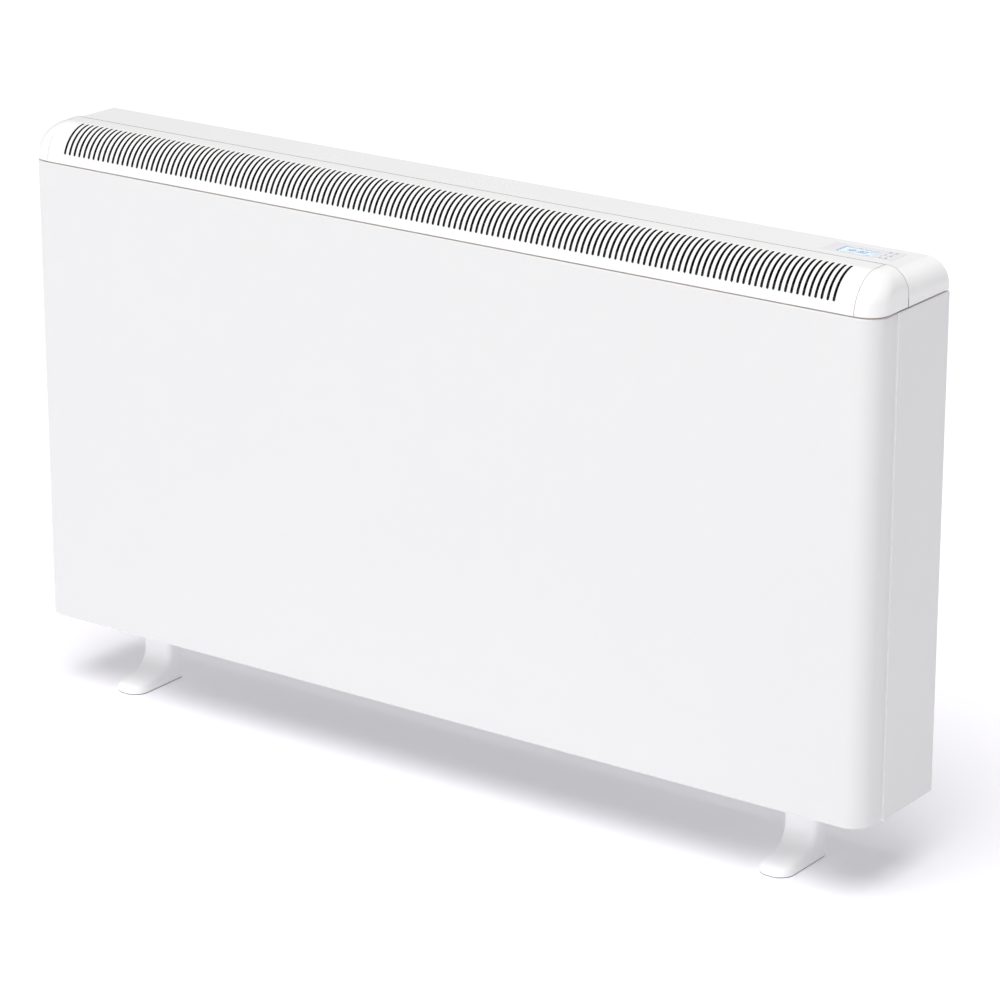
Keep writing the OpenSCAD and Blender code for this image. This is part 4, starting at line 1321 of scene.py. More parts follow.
@dataclass
class AirGrille:
    """Gloss white nose with its row of upright slots, made bay by bay."""

    sizes: HeaterSizes
    palette: Palette
    count: int = 144
    pitch: float = 7.5 * MM
    slot_w: float = 3.2 * MM
    slot_low: float = 13 * MM
    slot_back: float = 40 * MM
    lip: float = 0.35 * MM
    edge: float = 0.5 * MM
    rear_r: float = 0.8 * MM
    joint: tuple[float, float, float] = (0.9 * MM, 0.9 * MM, 0.6 * MM)
    cap_steps: int = 6
    straight_steps: int = 15
    below_steps: int = 4
    bend_steps: int = 4
    tab_rise: float = 1 * MM
    tab_short: float = 1 * MM

    def _at(self, x: float, s: float, depth: float) -> Point3:
        """A point of the nose.

        Args:
            x: place along the heater.
            s: distance up the outer surface from the seam.
            depth: depth below that surface.

        Returns:
            The point.
        """
        z = self.sizes
        crest, turn, down = self._marks()
        centre = z.front_y + z.nose_r
        if s > down:
            return (x, z.grille_y - depth, z.crown_z - self.rear_r - (s - down))
        if s > turn:
            a = (s - turn) / self.rear_r
            radius = max(self.rear_r - depth, NEAR)
            y, top = z.grille_y - depth - radius, z.crown_z - depth - radius
            return (x, y + radius * math.sin(a), top + radius * math.cos(a))
        if s > crest:
            back, wide, low = self.joint
            if depth == 0 and turn - back - wide < s < turn - back:
                depth = low
            y = centre + s - crest
            return (x, min(y, z.grille_y - max(depth, self.rear_r)), z.crown_z - depth)
        a = s / z.nose_r
        radius = z.nose_r - depth
        y = centre - z.nose_flat * radius * math.cos(a)
        return (x, y, z.seam_z + radius * math.sin(a))

    def _marks(self) -> Point3:
        """Distances up the nose where the curve's kind changes.

        Returns:
            Where its flat, its rear bend and its rear flange start.
        """
        z = self.sizes
        crest = math.pi / 2 * z.nose_r
        turn = crest + z.grille_d - z.nose_r - self.rear_r
        return crest, turn, turn + math.pi / 2 * self.rear_r

    def _reach(self) -> Point2:
        """How far the nose reaches.

        Returns:
            Distances up the nose of its lower edge and of its rear flange's.
        """
        z = self.sizes
        low = math.asin(z.seam_gap / z.nose_r) * z.nose_r
        return low, self._marks()[2] + z.cover_step + z.skin_t - self.rear_r

    def _deep(self, point: Vector) -> bool:
        """Tells whether a point lies well below the nose's surface, where black is painted as
        shade.

        Args:
            point: the point.

        Returns:
            True for the slots' walls and the nose's inside.
        """
        z = self.sizes
        y, height = (point.y - z.front_y - z.nose_r) / z.nose_flat, point.z - z.seam_z
        if height < z.seam_gap + self.tab_rise or abs(point.x) > z.joint_x - self.edge:
            return False
        if y < 0:
            return z.nose_r - math.hypot(y, height) > 2 * self.lip
        return min(z.crown_z - point.z, z.grille_y - point.y) > self.joint[2] / 3

    def _slot(self, grow: float) -> list[Point2]:
        """Right half of a slot's outline as x and distance up the nose.

        Args:
            grow: how far the outline is moved outward.

        Returns:
            The points, from the lower tip to the upper one.
        """
        r = self.sizes.nose_r
        half = self.slot_w / 2
        low = math.asin(self.slot_low / r) * r + half
        high = math.acos((r - self.slot_back) / r) * r - half
        reach, steps = half + grow, self.straight_steps
        cap = [(reach * math.cos(a), reach * math.sin(a)) for a in quarter(self.cap_steps)]
        points = [(x, low - rise) for x, rise in reversed(cap)]
        points += [(reach, low + (high - low) * k / steps) for k in range(1, steps)]
        points += [(x, high + rise) for x, rise in cap]
        points[0] = (0.0, points[0][1])
        points[-1] = (0.0, points[-1][1])
        return points

    def _stations(self, depth: float, grow: float) -> list[Point2]:
        """Inner column of half a bay, from the nose's lower edge to its rear edge.

        Args:
            depth: depth below the surface.
            grow: how far the slot's outline is moved outward.

        Returns:
            x and distance up the nose of each point.
        """
        low, high = self._reach()
        slot = self._slot(grow)
        first = low * (1 if depth == 0 else self.sizes.nose_r / (self.sizes.nose_r - depth))
        steps = self.below_steps
        below = [(0.0, first + (slot[0][1] - first) * k / steps) for k in range(steps)]
        crest, turn, down = self._marks()
        above = [(0.0, slot[-1][1] + (crest - slot[-1][1]) * k / 2) for k in (1, 2)]
        back, wide, _ = self.joint
        above += [(0.0, crest + (turn - crest) / 2)]
        above += [(0.0, turn - back - wide + d * wide) for d in (0.0, 0.05, 0.95, 1.0)]
        steps = self.bend_steps
        above += [(0.0, turn + (down - turn) * k / steps) for k in range(steps + 1)]
        return below + slot + above + [(0.0, high)]

    def _bay(self) -> bmesh.types.BMesh:
        """One bay: a strip of the nose, one pitch wide, with its slot.

        Returns:
            The bay's mesh, open at both sides.
        """
        bm = bmesh.new()
        t, rim = self.sizes.skin_t, self.pitch / 2
        outer = self._stations(0, self.lip)
        throat = self._stations(0, 0)
        inner = self._stations(t, 0)
        first = self.below_steps
        last = first + len(self._slot(0)) - 1
        for side in (-1, 1):
            sheets = []
            for stations, depth in ((outer, 0.0), (inner, t)):
                near = [bm.verts.new(self._at(side * x, s, depth)) for x, s in stations]
                far = [bm.verts.new(self._at(side * rim, s, depth)) for x, s in stations]
                for k in range(len(near) - 1):
                    bm.faces.new((near[k], far[k], far[k + 1], near[k + 1]))
                sheets.append((near, far))
            ledge = [
                bm.verts.new(self._at(side * x, s, self.lip))
                for x, s in throat[first : last + 1]
            ]
            top, bottom = sheets[0][0][first : last + 1], sheets[1][0][first : last + 1]
            for k in range(last - first):
                bm.faces.new((top[k], top[k + 1], ledge[k + 1], ledge[k]))
                bm.faces.new((ledge[k], ledge[k + 1], bottom[k + 1], bottom[k]))
            for k in (0, -1):
                bm.faces.new(
                    (sheets[0][0][k], sheets[0][1][k], sheets[1][1][k], sheets[1][0][k])
                )
        bmesh.ops.remove_doubles(bm, verts=bm.verts[:], dist=FINE_WELD)
        return bm

    def _ends(self, bm: bmesh.types.BMesh) -> None:
        """Adds the plain strips at both ends, each closed with a chamfered end face.

        Args:
            bm: the mesh that takes them.
        """
        t = self.sizes.skin_t
        start = self.count * self.pitch / 2
        stop = self.sizes.joint_x
        outer = [s for _, s in self._stations(0, self.lip)]
        inner = [s for _, s in self._stations(t, 0)]
        for side in (-1, 1):
            columns = [
                (start, outer, 0.0),
                (stop - self.edge, outer, 0.0),
                (stop, outer, self.edge),
                (stop, inner, t),
                (start, inner, t),
            ]
            rows = [
                [bm.verts.new(self._at(side * x, s, depth)) for s in stations]
                for x, stations, depth in columns
            ]
            for a, b in zip(rows, rows[1:]):
                for k in range(len(a) - 1):
                    bm.faces.new((a[k], b[k], b[k + 1], a[k + 1]))
            bm.faces.new([row[0] for row in rows])
            bm.faces.new([row[-1] for row in rows])

    def build(self) -> bpy.types.Object:
        """Repeats the bay along the nose and closes its ends.

        Returns:
            The grille.
        """
        s = self.sizes
        obj = to_object("nose_grille", self._bay())
        run_tree(
            obj,
            row_tree(),
            {
                "Count": self.count,
                "Pitch": self.pitch,
                "Material": self.palette.material("gloss_white"),
            },
        )
        tab_x, tab_y, tab_back = s.joint_x - self.tab_short, s.tab_y, s.tab_y + s.skin_t
        levels = (s.seam_z + TAB_GAP, s.seam_z + 2 * s.seam_gap)
        with opened(obj) as bm:
            self._ends(bm)
            bmesh.ops.remove_doubles(bm, verts=bm.verts[:], dist=WELD)
            box(bm, (-tab_x, tab_y, levels[0]), (tab_x, tab_back, levels[1]))
            shade(bm)
        place_piece(obj, self.palette, "gloss_white", replaces=["air_grille"])
        # The slots' walls below the lip and the nose's inside are painted black: painted shade.
        second_finish(obj, self.palette, "black_moulded", self._deep)
        # The grille's ends and the tab that closes the seam are painted grey-brown: painted
        # shade of the joint and the seam.
        tab_top = s.seam_z + s.seam_gap + self.tab_rise
        return second_finish(
            obj,
            self.palette,
            "joint_grey",
            lambda p: abs(p.x) > s.joint_x - 0.9 * self.edge
            or (tab_y - self.edge < p.y < tab_back + TAB_GAP and p.z < tab_top),
        )


@dataclass
class EndCap:
    """Domed moulding that closes one end of the grille."""

    sizes: HeaterSizes
    palette: Palette
    side: Side
    rings: int = 30
    arc_steps: int = 14
    rear_r: float = 0.8 * MM
    # Width of the band along the rear edge that is painted as the crease's shade.
    line_w: float = 1.5 * MM
    edge_r: float = 0.5 * MM
    foot_in: float = 1 * MM

    def _corner(self, x: float, y: float, rx: float, ry: float) -> list[Point2]:
        """Rounded front corner of a plan, from the front round to the end.

        Args:
            x: place of the end.
            y: place of the front.
            rx: radius along the heater.
            ry: radius from front to back.

        Returns:
            The corner's points.
        """
        turn = quarter(self.arc_steps)
        return [(x - rx + rx * math.sin(a), y + ry - ry * math.cos(a)) for a in turn]

    def _ring(self, height: float) -> list[Point3]:
        """Plan of the cap at a height above the seam.

        Args:
            height: the height.

        Returns:
            The ring's points.
        """
        s = self.sizes
        front = s.nose_r - s.nose_flat * math.sqrt(max(s.nose_r**2 - height**2, 0))
        straight = s.nose_r - s.end_r
        end = 0.0
        if height > straight:
            end = s.end_r - math.sqrt(max(s.end_r**2 - (height - straight) ** 2, 0))
        x0, x1 = s.joint_x, s.cap_half_w - end
        y0, y1 = s.front_y + front, s.grille_y
        over = height - (s.nose_r - self.rear_r)
        if over > 0:
            y1 -= self.rear_r - math.sqrt(max(self.rear_r**2 - over**2, 0))
        rx = min(s.corner_r, x1 - x0)
        ry = min(s.corner_r, y1 - y0 - self.line_w - TAB_GAP)
        ring = [(x0, y1), (x0, y1 - self.line_w), (x0, y0)]
        ring += self._corner(x1, y0, rx, ry)
        ring += [(x1, y1 - self.line_w), (x1, y1)]
        z = s.seam_z + height
        return [(self.side.value * x, y, z) for x, y in ring]

    def build(self) -> bpy.types.Object:
        """Lofts the dome and softens its joint edges.

        Returns:
            The end cap.
        """
        s = self.sizes
        rise = s.nose_r - s.seam_gap
        bm = bmesh.new()
        loft(bm, [self._ring(s.seam_gap + rise * math.sin(a)) for a in quarter(self.rings)])
        bmesh.ops.remove_doubles(bm, verts=bm.verts[:], dist=TOUCH)
        crown = max(bm.faces, key=lambda face: face.calc_center_median().z)
        cut = max(v.co.y for v in crown.verts) - self.line_w
        corners = [v for v in crown.verts if abs(v.co.y - cut) < NEAR]
        bmesh.utils.face_split(crown, corners[0], corners[-1])
        end, back, r = s.wrap_x - s.sheet_t, s.grille_y - self.foot_in, s.corner_r - s.tab_in
        plan = [(s.joint_x, back), (s.joint_x, s.tab_y)]
        plan += [*self._corner(end, s.tab_y, r, r), (end, back)]
        levels = (s.seam_z + TAB_GAP, s.seam_z + 2 * s.seam_gap - TAB_GAP)
        loft(bm, [[(self.side.value * x, y, z) for x, y in plan] for z in levels])
        shade(bm, limit=40)
        obj = soften(to_object(f"end_dome_{self.side.word}", bm), self.edge_r, angle=55)
        place_piece(obj, self.palette, "gloss_white", replaces=[f"end_cap_{self.side.word}"])
        # The cap's lowest faces and a band along its rear edge are painted grey-brown: painted
        # shade of the seam and of the crease against the cover.
        floor = s.seam_z + s.seam_gap + TOUCH
        line = s.grille_y - self.line_w
        return second_finish(
            obj,
            self.palette,
            "joint_grey",
            lambda p: p.z < floor or line < p.y < s.grille_y - TOUCH,
        )


@dataclass
class TopCover:
    """Cover behind the grille, one step lower, with the control panel's recess."""

    sizes: HeaterSizes
    palette: Palette
    panel: PanelLayout
    arc_steps: int = 14
    fit: float = 0.3 * MM
    recess_r: float = 2.6 * MM
    window_fit: float = 2.2 * MM
    key_fit: float = 0.35 * MM
    cut: float = 5 * MM
    cut_low: float = 4 * MM
    skirt_t: float = 2 * MM
    skirt_out: float = 0.2 * MM
    skirt_h: float = 5 * MM
    tail_t: float = 4 * MM
    ledge_short: float = 2 * MM
    ledge_in: float = 10 * MM
    ledge_over: float = 0.5 * MM
    edge_r: float = 0.35 * MM
    side_skin: float = 0.6 * MM
    rear_skin: float = 1 * MM

    def _section(self, y: float, inset: float, bottom: float) -> list[Point3]:
        """Outline of the cover across the heater.

        Args:
            y: place of the section.
            inset: how far the outline is drawn in.
            bottom: height of its lower edge.

        Returns:
            The section's points.
        """
        s = self.sizes
        top = s.cover_z - (y - s.cover_y) * math.tan(s.slope)
        points = [(-(s.cap_half_w - inset), y, bottom)]
        for side, corner in ((-1, s.left_r), (1, s.end_r)):
            r, middle = corner - inset, s.cap_half_w - corner
            for a in quarter(self.arc_steps)[::-side]:
                x = side * (middle + r * math.cos(a))
                points.append((x, y, top - corner + r * math.sin(a)))
        points.append((s.cap_half_w - inset, y, bottom))
        return points

    def _block(self, name: str, inset: float, bottom: float) -> bpy.types.Object:
        """The cover's solid, drawn in by an inset.

        Args:
            name: the object's name.
            inset: how far it is drawn in.
            bottom: height of its lower edge.

        Returns:
            The solid.
        """
        s = self.sizes
        bm = bmesh.new()
        rings = [
            self._section(y, inset, bottom) for y in (s.cover_y + inset, s.wall_y - inset)
        ]
        loft(bm, rings)
        bmesh.ops.recalc_face_normals(bm, faces=bm.faces[:])
        return to_object(name, bm)

    def _cutter(
        self, outlines: Sequence[Sequence[Point2]], low: float, high: float
    ) -> bpy.types.Object:
        """Upright prisms in the cover's own frame.

        Args:
            outlines: the prisms' outlines.
            low: their lower ends.
            high: their upper ends.

        Returns:
            The prisms, as one object.
        """
        bm = bmesh.new()
        for outline in outlines:
            loft(bm, [[(x, y, z) for x, y in outline] for z in (low, high)])
        bmesh.ops.recalc_face_normals(bm, faces=bm.faces[:])
        return to_object("cutter", bm, self.sizes.on_cover)

    def _skirts(self, bm: bmesh.types.BMesh) -> None:
        """Adds the skirts that locate the cover in the case, and the ledge under the grille.

        Args:
            bm: the mesh that takes them.
        """
        s = self.sizes
        x, top = s.half_w - s.skin_t, s.seam_z + s.seam_gap + self.skirt_h
        rear_in = s.rear_out - s.sheet_t
        for side in (-1, 1):
            near, far = sorted((side * (x - self.skirt_t), side * (x + self.skirt_out)))
            box(bm, (near, s.cover_y + s.skin_t, s.seam_z), (far, rear_in - s.sheet_t, top))
        tail, ledge = s.half_w - s.flange_w, s.joint_x - self.ledge_short
        box(bm, (-tail, rear_in - self.tail_t, s.seam_z), (tail, rear_in, top))
        box(
            bm,
            (-ledge, s.grille_y - self.ledge_in, s.cover_z - 2 * s.skin_t),
            (ledge, s.cover_y + self.ledge_over, s.cover_z - s.skin_t),
        )

    def build(self) -> bpy.types.Object:
        """Hollows the cover and cuts the recess, the window and the keys' holes.

        Returns:
            The cover.
        """
        s, p = self.sizes, self.panel
        low = s.seam_z + s.seam_gap
        obj = self._block("top_cover_shell", 0, low)
        width, depth = (side + 2 * self.fit for side in p.size)
        recess = rounded_rect(width, depth, self.recess_r, 5, p.centre)
        holes = [p.window_outline(self.window_fit)]
        holes += [p.key_outline(k, self.key_fit) for k in range(KEY_COUNT)]
        carve(
            obj,
            self._block("inner", s.skin_t, low - self.cut),
            self._cutter([recess], -p.thickness, self.cut),
            self._cutter(holes, -self.cut_low, self.cut),
        )
        with opened(obj) as bm:
            self._skirts(bm)
        soften(obj, self.edge_r, angle=44)
        place_piece(obj, self.palette, "cover_white", replaces=["top_cover"])
        # The cover's lowest faces and its front face, in the groove behind the grille, are
        # painted black: painted shade.
        second_finish(
            obj,
            self.palette,
            "black_moulded",
            lambda p: p.z < low + TOUCH or p.y < s.cover_y + NEAR,
        )
        # The skirts and the other low faces that show through the seam are painted grey-brown:
        # painted shade in the seam.
        side, rear = s.cap_half_w - self.side_skin, s.wall_y - self.rear_skin
        return second_finish(
            obj,
            self.palette,
            "joint_grey",
            lambda p: abs(p.x) < side and p.y < rear and p.z < s.seam_z + self.skirt_h,
        )


# ---------------------------------------------------------------- control panel


@dataclass(frozen=True)
class PanelLayout:
    """Where everything on the control panel lies, in the cover's own frame."""

    sizes: HeaterSizes
    right: float = 46.5 * MM
    front: float = 35.5 * MM
    back: float = 11.5 * MM
    width: float = 88 * MM
    thickness: float = 1.2 * MM
    window_w: float = 43 * MM
    window_left: float = 16 * MM
    window_start: float = 0.16
    window_share: float = 0.65
    key_w: float = 5 * MM
    key_left: float = 68.5 * MM
    key_pitch_x: float = 7.5 * MM
    key_start: float = 0.21
    key_row_share: float = 0.31
    key_share: float = 0.62
    key_rows: int = 3
    window_r: float = 1.2 * MM
    key_r: float = 1.1 * MM

    @property
    def size(self) -> Point2:
        """Size of the fascia.

        Returns:
            Its width and depth.
        """
        s = self.sizes
        run = math.hypot(s.wall_y - s.cover_y, s.rear_drop)
        return self.width, run - self.front - self.back

    @property
    def left(self) -> float:
        """Left edge of the fascia."""
        return self.sizes.half_w - self.right - self.width

    @property
    def centre(self) -> Point2:
        """Middle of the fascia."""
        return self.left + self.width / 2, self.front + self.size[1] / 2

    @property
    def window(self) -> tuple[float, float, float, float]:
        """Place of the display window.

        Returns:
            Its middle, width and depth.
        """
        depth = self.size[1]
        return (
            self.left + self.window_left + self.window_w / 2,
            self.front + (self.window_start + self.window_share / 2) * depth,
            self.window_w,
            self.window_share * depth,
        )

    def window_outline(self, grow: float) -> list[Point2]:
        """The window's outline, grown on each side."""
        x, y, w, d = self.window
        return rounded_rect(w + 2 * grow, d + 2 * grow, self.window_r + grow, 5, (x, y))

    def key_at(self, number: int) -> Point2:
        """Middle of a key.

        Args:
            number: which key, counted from 0 up the left column and then the right one.

        Returns:
            The point.
        """
        column, row = divmod(number, self.key_rows)
        depth = self.size[1]
        return (
            self.left + self.key_left + column * self.key_pitch_x,
            self.front + (self.key_start + row * self.key_row_share) * depth,
        )

    @property
    def key_d(self) -> float:
        """Depth of a key."""
        return self.key_share * self.key_row_share * self.size[1]

    def key_outline(self, number: int, grow: float) -> list[Point2]:
        """A key's outline, grown on each side."""
        width, depth = self.key_w + 2 * grow, self.key_d + 2 * grow
        return rounded_rect(width, depth, self.key_r + grow, 4, self.key_at(number))


# Lit bars of each number, from the top one round clockwise, with g in the middle.
SEGMENTS: dict[str, str] = {
    "0": "abcdef", "1": "bc", "2": "abged", "3": "abgcd", "8": "abcdefg",
}


@dataclass
class ControlPanel:
    """Fascia, display and six keys."""

    sizes: HeaterSizes
    palette: Palette
    layout: PanelLayout
    corner_r: float = 2.3 * MM
    edge_r: float = 0.22 * MM
    key_gap: float = 0.12 * MM
    digit_h: float = 7.5 * MM
    digit_w: float = 0.52
    slant: float = 0.09
    stroke: float = 1.3 * MM
    tip_gap: float = 0.14
    digit_step: float = 2.1
    dot_step: float = 1.7
    dot_half: float = 0.6
    ink_t: float = 0.06 * MM
    face: float = -1.26 * MM
    time_at: Point2 = (5 * MM, 10 * MM)
    warmth_at: Point2 = (9 * MM, 7 * MM)
    warmth_scale: float = 0.5
    level_at: Point2 = (12 * MM, 3 * MM)
    level_pitch: float = 1.4 * MM
    level_rise: Point2 = (1 * MM, 0.35 * MM)
    level_count: int = 7
    level_w: float = 0.7 * MM
    rule: Point3 = (4 * MM, 22 * MM, 4.5 * MM)
    rule_w: float = 0.5 * MM
    frame_in: float = 0.6 * MM
    frame_w: float = 0.3 * MM
    stem_r: float = 1.6 * MM
    stem_steps: int = 20
    # How far each section is grown past the window, and its height, in millimetres.
    lens_levels: tuple[Point2, ...] = (
        (-0.1, -1.15), (-0.1, -0.3), (-0.2, -0.16), (-0.45, -0.1),
    )
    display_levels: tuple[Point2, ...] = (
        (1.9, -8.95), (1.9, -1.4), (1.2, -1.3), (0.6, -1.26),
    )
    # How far each section is grown past the key, its corner radius and its height.
    flange_levels: tuple[Point3, ...] = ((1, 1.2, -3.9), (1, 1.2, -2.75))
    key_levels: tuple[Point3, ...] = (
        (0, 1.1, -2.75), (0, 1.1, 0.45), (-0.06, 1.05, 0.66), (-0.21, 0.95, 0.82),
        (-0.45, 0.8, 0.88), (-0.8, 0.6, 0.84), (-1.4, 0.4, 0.76), (-1.9, 0.3, 0.72),
    )
    stem_levels: Point2 = (-6.9, -3.9)

    def fascia(self) -> bpy.types.Object:
        """Fascia plate with the window and the keys' holes.

        Returns:
            The fascia.
        """
        p = self.layout
        outline = rounded_rect(*p.size, self.corner_r, 5, p.centre)
        holes = [p.window_outline(0)]
        holes += [p.key_outline(k, self.key_gap) for k in range(KEY_COUNT)]
        bm = plate(outline, holes, -p.thickness, 0)
        shade(bm)
        obj = soften(to_object("fascia_plate", bm, self.sizes.on_cover), self.edge_r)
        return place_piece(obj, self.palette, "fascia_film", replaces=["control_fascia"])

    def _behind_window(self, name: str, levels: Sequence[Point2]) -> bpy.types.Object:
        """A solid whose sections follow the window's outline.

        Args:
            name: the object's name.
            levels: growth and height of each section, in millimetres.

        Returns:
            The solid.
        """
        bm = bmesh.new()
        loft(
            bm,
            [
                [(x, y, z * MM) for x, y in self.layout.window_outline(grow * MM)]
                for grow, z in levels
            ],
        )
        shade(bm, limit=40)
        return to_object(name, bm, self.sizes.on_cover)

    def lens(self) -> bpy.types.Object:
        """Clear lens that fills the window."""
        obj = self._behind_window("window_lens", self.lens_levels)
        return place_piece(obj, self.palette, "lens_clear", replaces=["display_lens"])

    def display(self) -> bpy.types.Object:
        """Lit panel of the display, with its frame below."""
        obj = self._behind_window("lit_display", self.display_levels)
        return place_piece(obj, self.palette, "display_blue", replaces=["display_module"])

    def _stroke(self, bm: bmesh.types.BMesh, a: Point2, b: Point2, width: float) -> None:
        """Adds one pointed bar of a digit.

        Args:
            bm: the mesh that takes it.
            a: its start.
            b: its end.
            width: its width.
        """
        along = Vector(b) - Vector(a)
        side = Vector((-along.y, along.x)).normalized() * width / 2
        tip = along.normalized() * width / 2
        start, end = Vector(a), Vector(b)
        outline = [
            start, start + tip - side, end - tip - side, end, end - tip + side,
            start + tip + side,
        ]
        levels = (self.face, self.face + self.ink_t)
        loft(bm, [[(v.x, v.y, z) for v in outline] for z in levels])

    def _text(self, bm: bmesh.types.BMesh, words: str, at: Point2, height: float) -> None:
        """Adds plain seven-bar numbers, with or without a colon between them.

        Args:
            bm: the mesh that takes them.
            words: the numbers.
            at: lower left corner.
            height: height of a digit.
        """
        w, h, lean = self.digit_w * height, height, self.slant * height
        x0, y0 = at
        size = self.stroke * height / self.digit_h
        for letter in words:
            corner = {
                "tl": (x0 + lean, y0 + h), "tr": (x0 + w + lean, y0 + h),
                "ml": (x0 + lean / 2, y0 + h / 2), "mr": (x0 + w + lean / 2, y0 + h / 2),
                "bl": (x0, y0), "br": (x0 + w, y0),
            }
            bars = {
                "a": ("tl", "tr"), "b": ("mr", "tr"), "c": ("br", "mr"), "d": ("bl", "br"),
                "e": ("bl", "ml"), "f": ("ml", "tl"), "g": ("ml", "mr"),
            }
            if letter in SEGMENTS:
                for bar in SEGMENTS[letter]:
                    a, b = (Vector(corner[c]) for c in bars[bar])
                    gap = (b - a).normalized() * size * self.tip_gap
                    self._stroke(bm, tuple(a + gap), tuple(b - gap), size)
                x0 += w + self.digit_step * size
                continue
            for share in (0.28, 0.72):
                x, y, half = x0 + lean * share, y0 + share * h, size * self.dot_half
                self._stroke(bm, (x, y - half), (x, y + half), size)
            x0 += self.dot_step * size

    def ink(self) -> bpy.types.Object:
        """Dark numbers and level bars of the display.

        Returns:
            The marks, as one piece.
        """
        x, y, w, d = self.layout.window
        left, right, low, high = x - w / 2, x + w / 2, y - d / 2, y + d / 2
        bm = bmesh.new()
        self._text(bm, "18:30", (left + self.time_at[0], low + self.time_at[1]), self.digit_h)
        warmth_at = (right - self.warmth_at[0], high - self.warmth_at[1])
        self._text(bm, "21", warmth_at, self.warmth_scale * self.digit_h)
        for k in range(self.level_count):
            bar_x, foot = right - self.level_at[0] + k * self.level_pitch, low + self.level_at[1]
            head = foot + self.level_rise[0] + k * self.level_rise[1]
            self._stroke(bm, (bar_x, foot), (bar_x, head), self.level_w)
        start, stop, rise = self.rule
        self._stroke(bm, (left + start, low + rise), (left + stop, low + rise), self.rule_w)
        x0, x1, y0, y1 = (
            edge + sign * self.frame_in
            for edge, sign in ((left, 1), (right, -1), (low, 1), (high, -1))
        )
        corners = [(x0, y0), (x1, y0), (x1, y1), (x0, y1)]
        for k, corner in enumerate(corners):
            self._stroke(bm, corners[k - 1], corner, self.frame_w)
        shade(bm)
        obj = to_object("display_marks", bm, self.sizes.on_cover)
        return place_piece(obj, self.palette, "ink_dark")

    def key(self, number: int) -> bpy.types.Object:
        """One key, with its flange, stem and dished top.

        Args:
            number: which key, from 0.

        Returns:
            The key.
        """
        p = self.layout
        x, y = p.key_at(number)
        rings = []
        for grow, radius, z in (*self.flange_levels, *self.key_levels):
            width, depth = p.key_w + 2 * grow * MM, p.key_d + 2 * grow * MM
            outline = rounded_rect(width, depth, radius * MM, 5, (x, y))
            rings.append([(px, py, z * MM) for px, py in outline])
        bm = bmesh.new()
        loft(bm, rings)
        r, steps = self.stem_r, self.stem_steps
        turns = [2 * math.pi * k / steps for k in range(steps)]
        stem = [(x + r * math.cos(a), y + r * math.sin(a)) for a in turns]
        loft(bm, [[(px, py, z * MM) for px, py in stem] for z in self.stem_levels])
        shade(bm, limit=38)
        name = f"key_{number + 1}"
        obj = to_object(f"{name}_cap", bm, self.sizes.on_cover)
        return place_piece(obj, self.palette, "key_grey", name, [name])

    def build(self) -> None:
        """Builds every piece of the control panel."""
        self.fascia()
        self.lens()
        self.display()
        self.ink()
        for number in range(KEY_COUNT):
            self.key(number)


# ---------------------------------------------------------------- feet


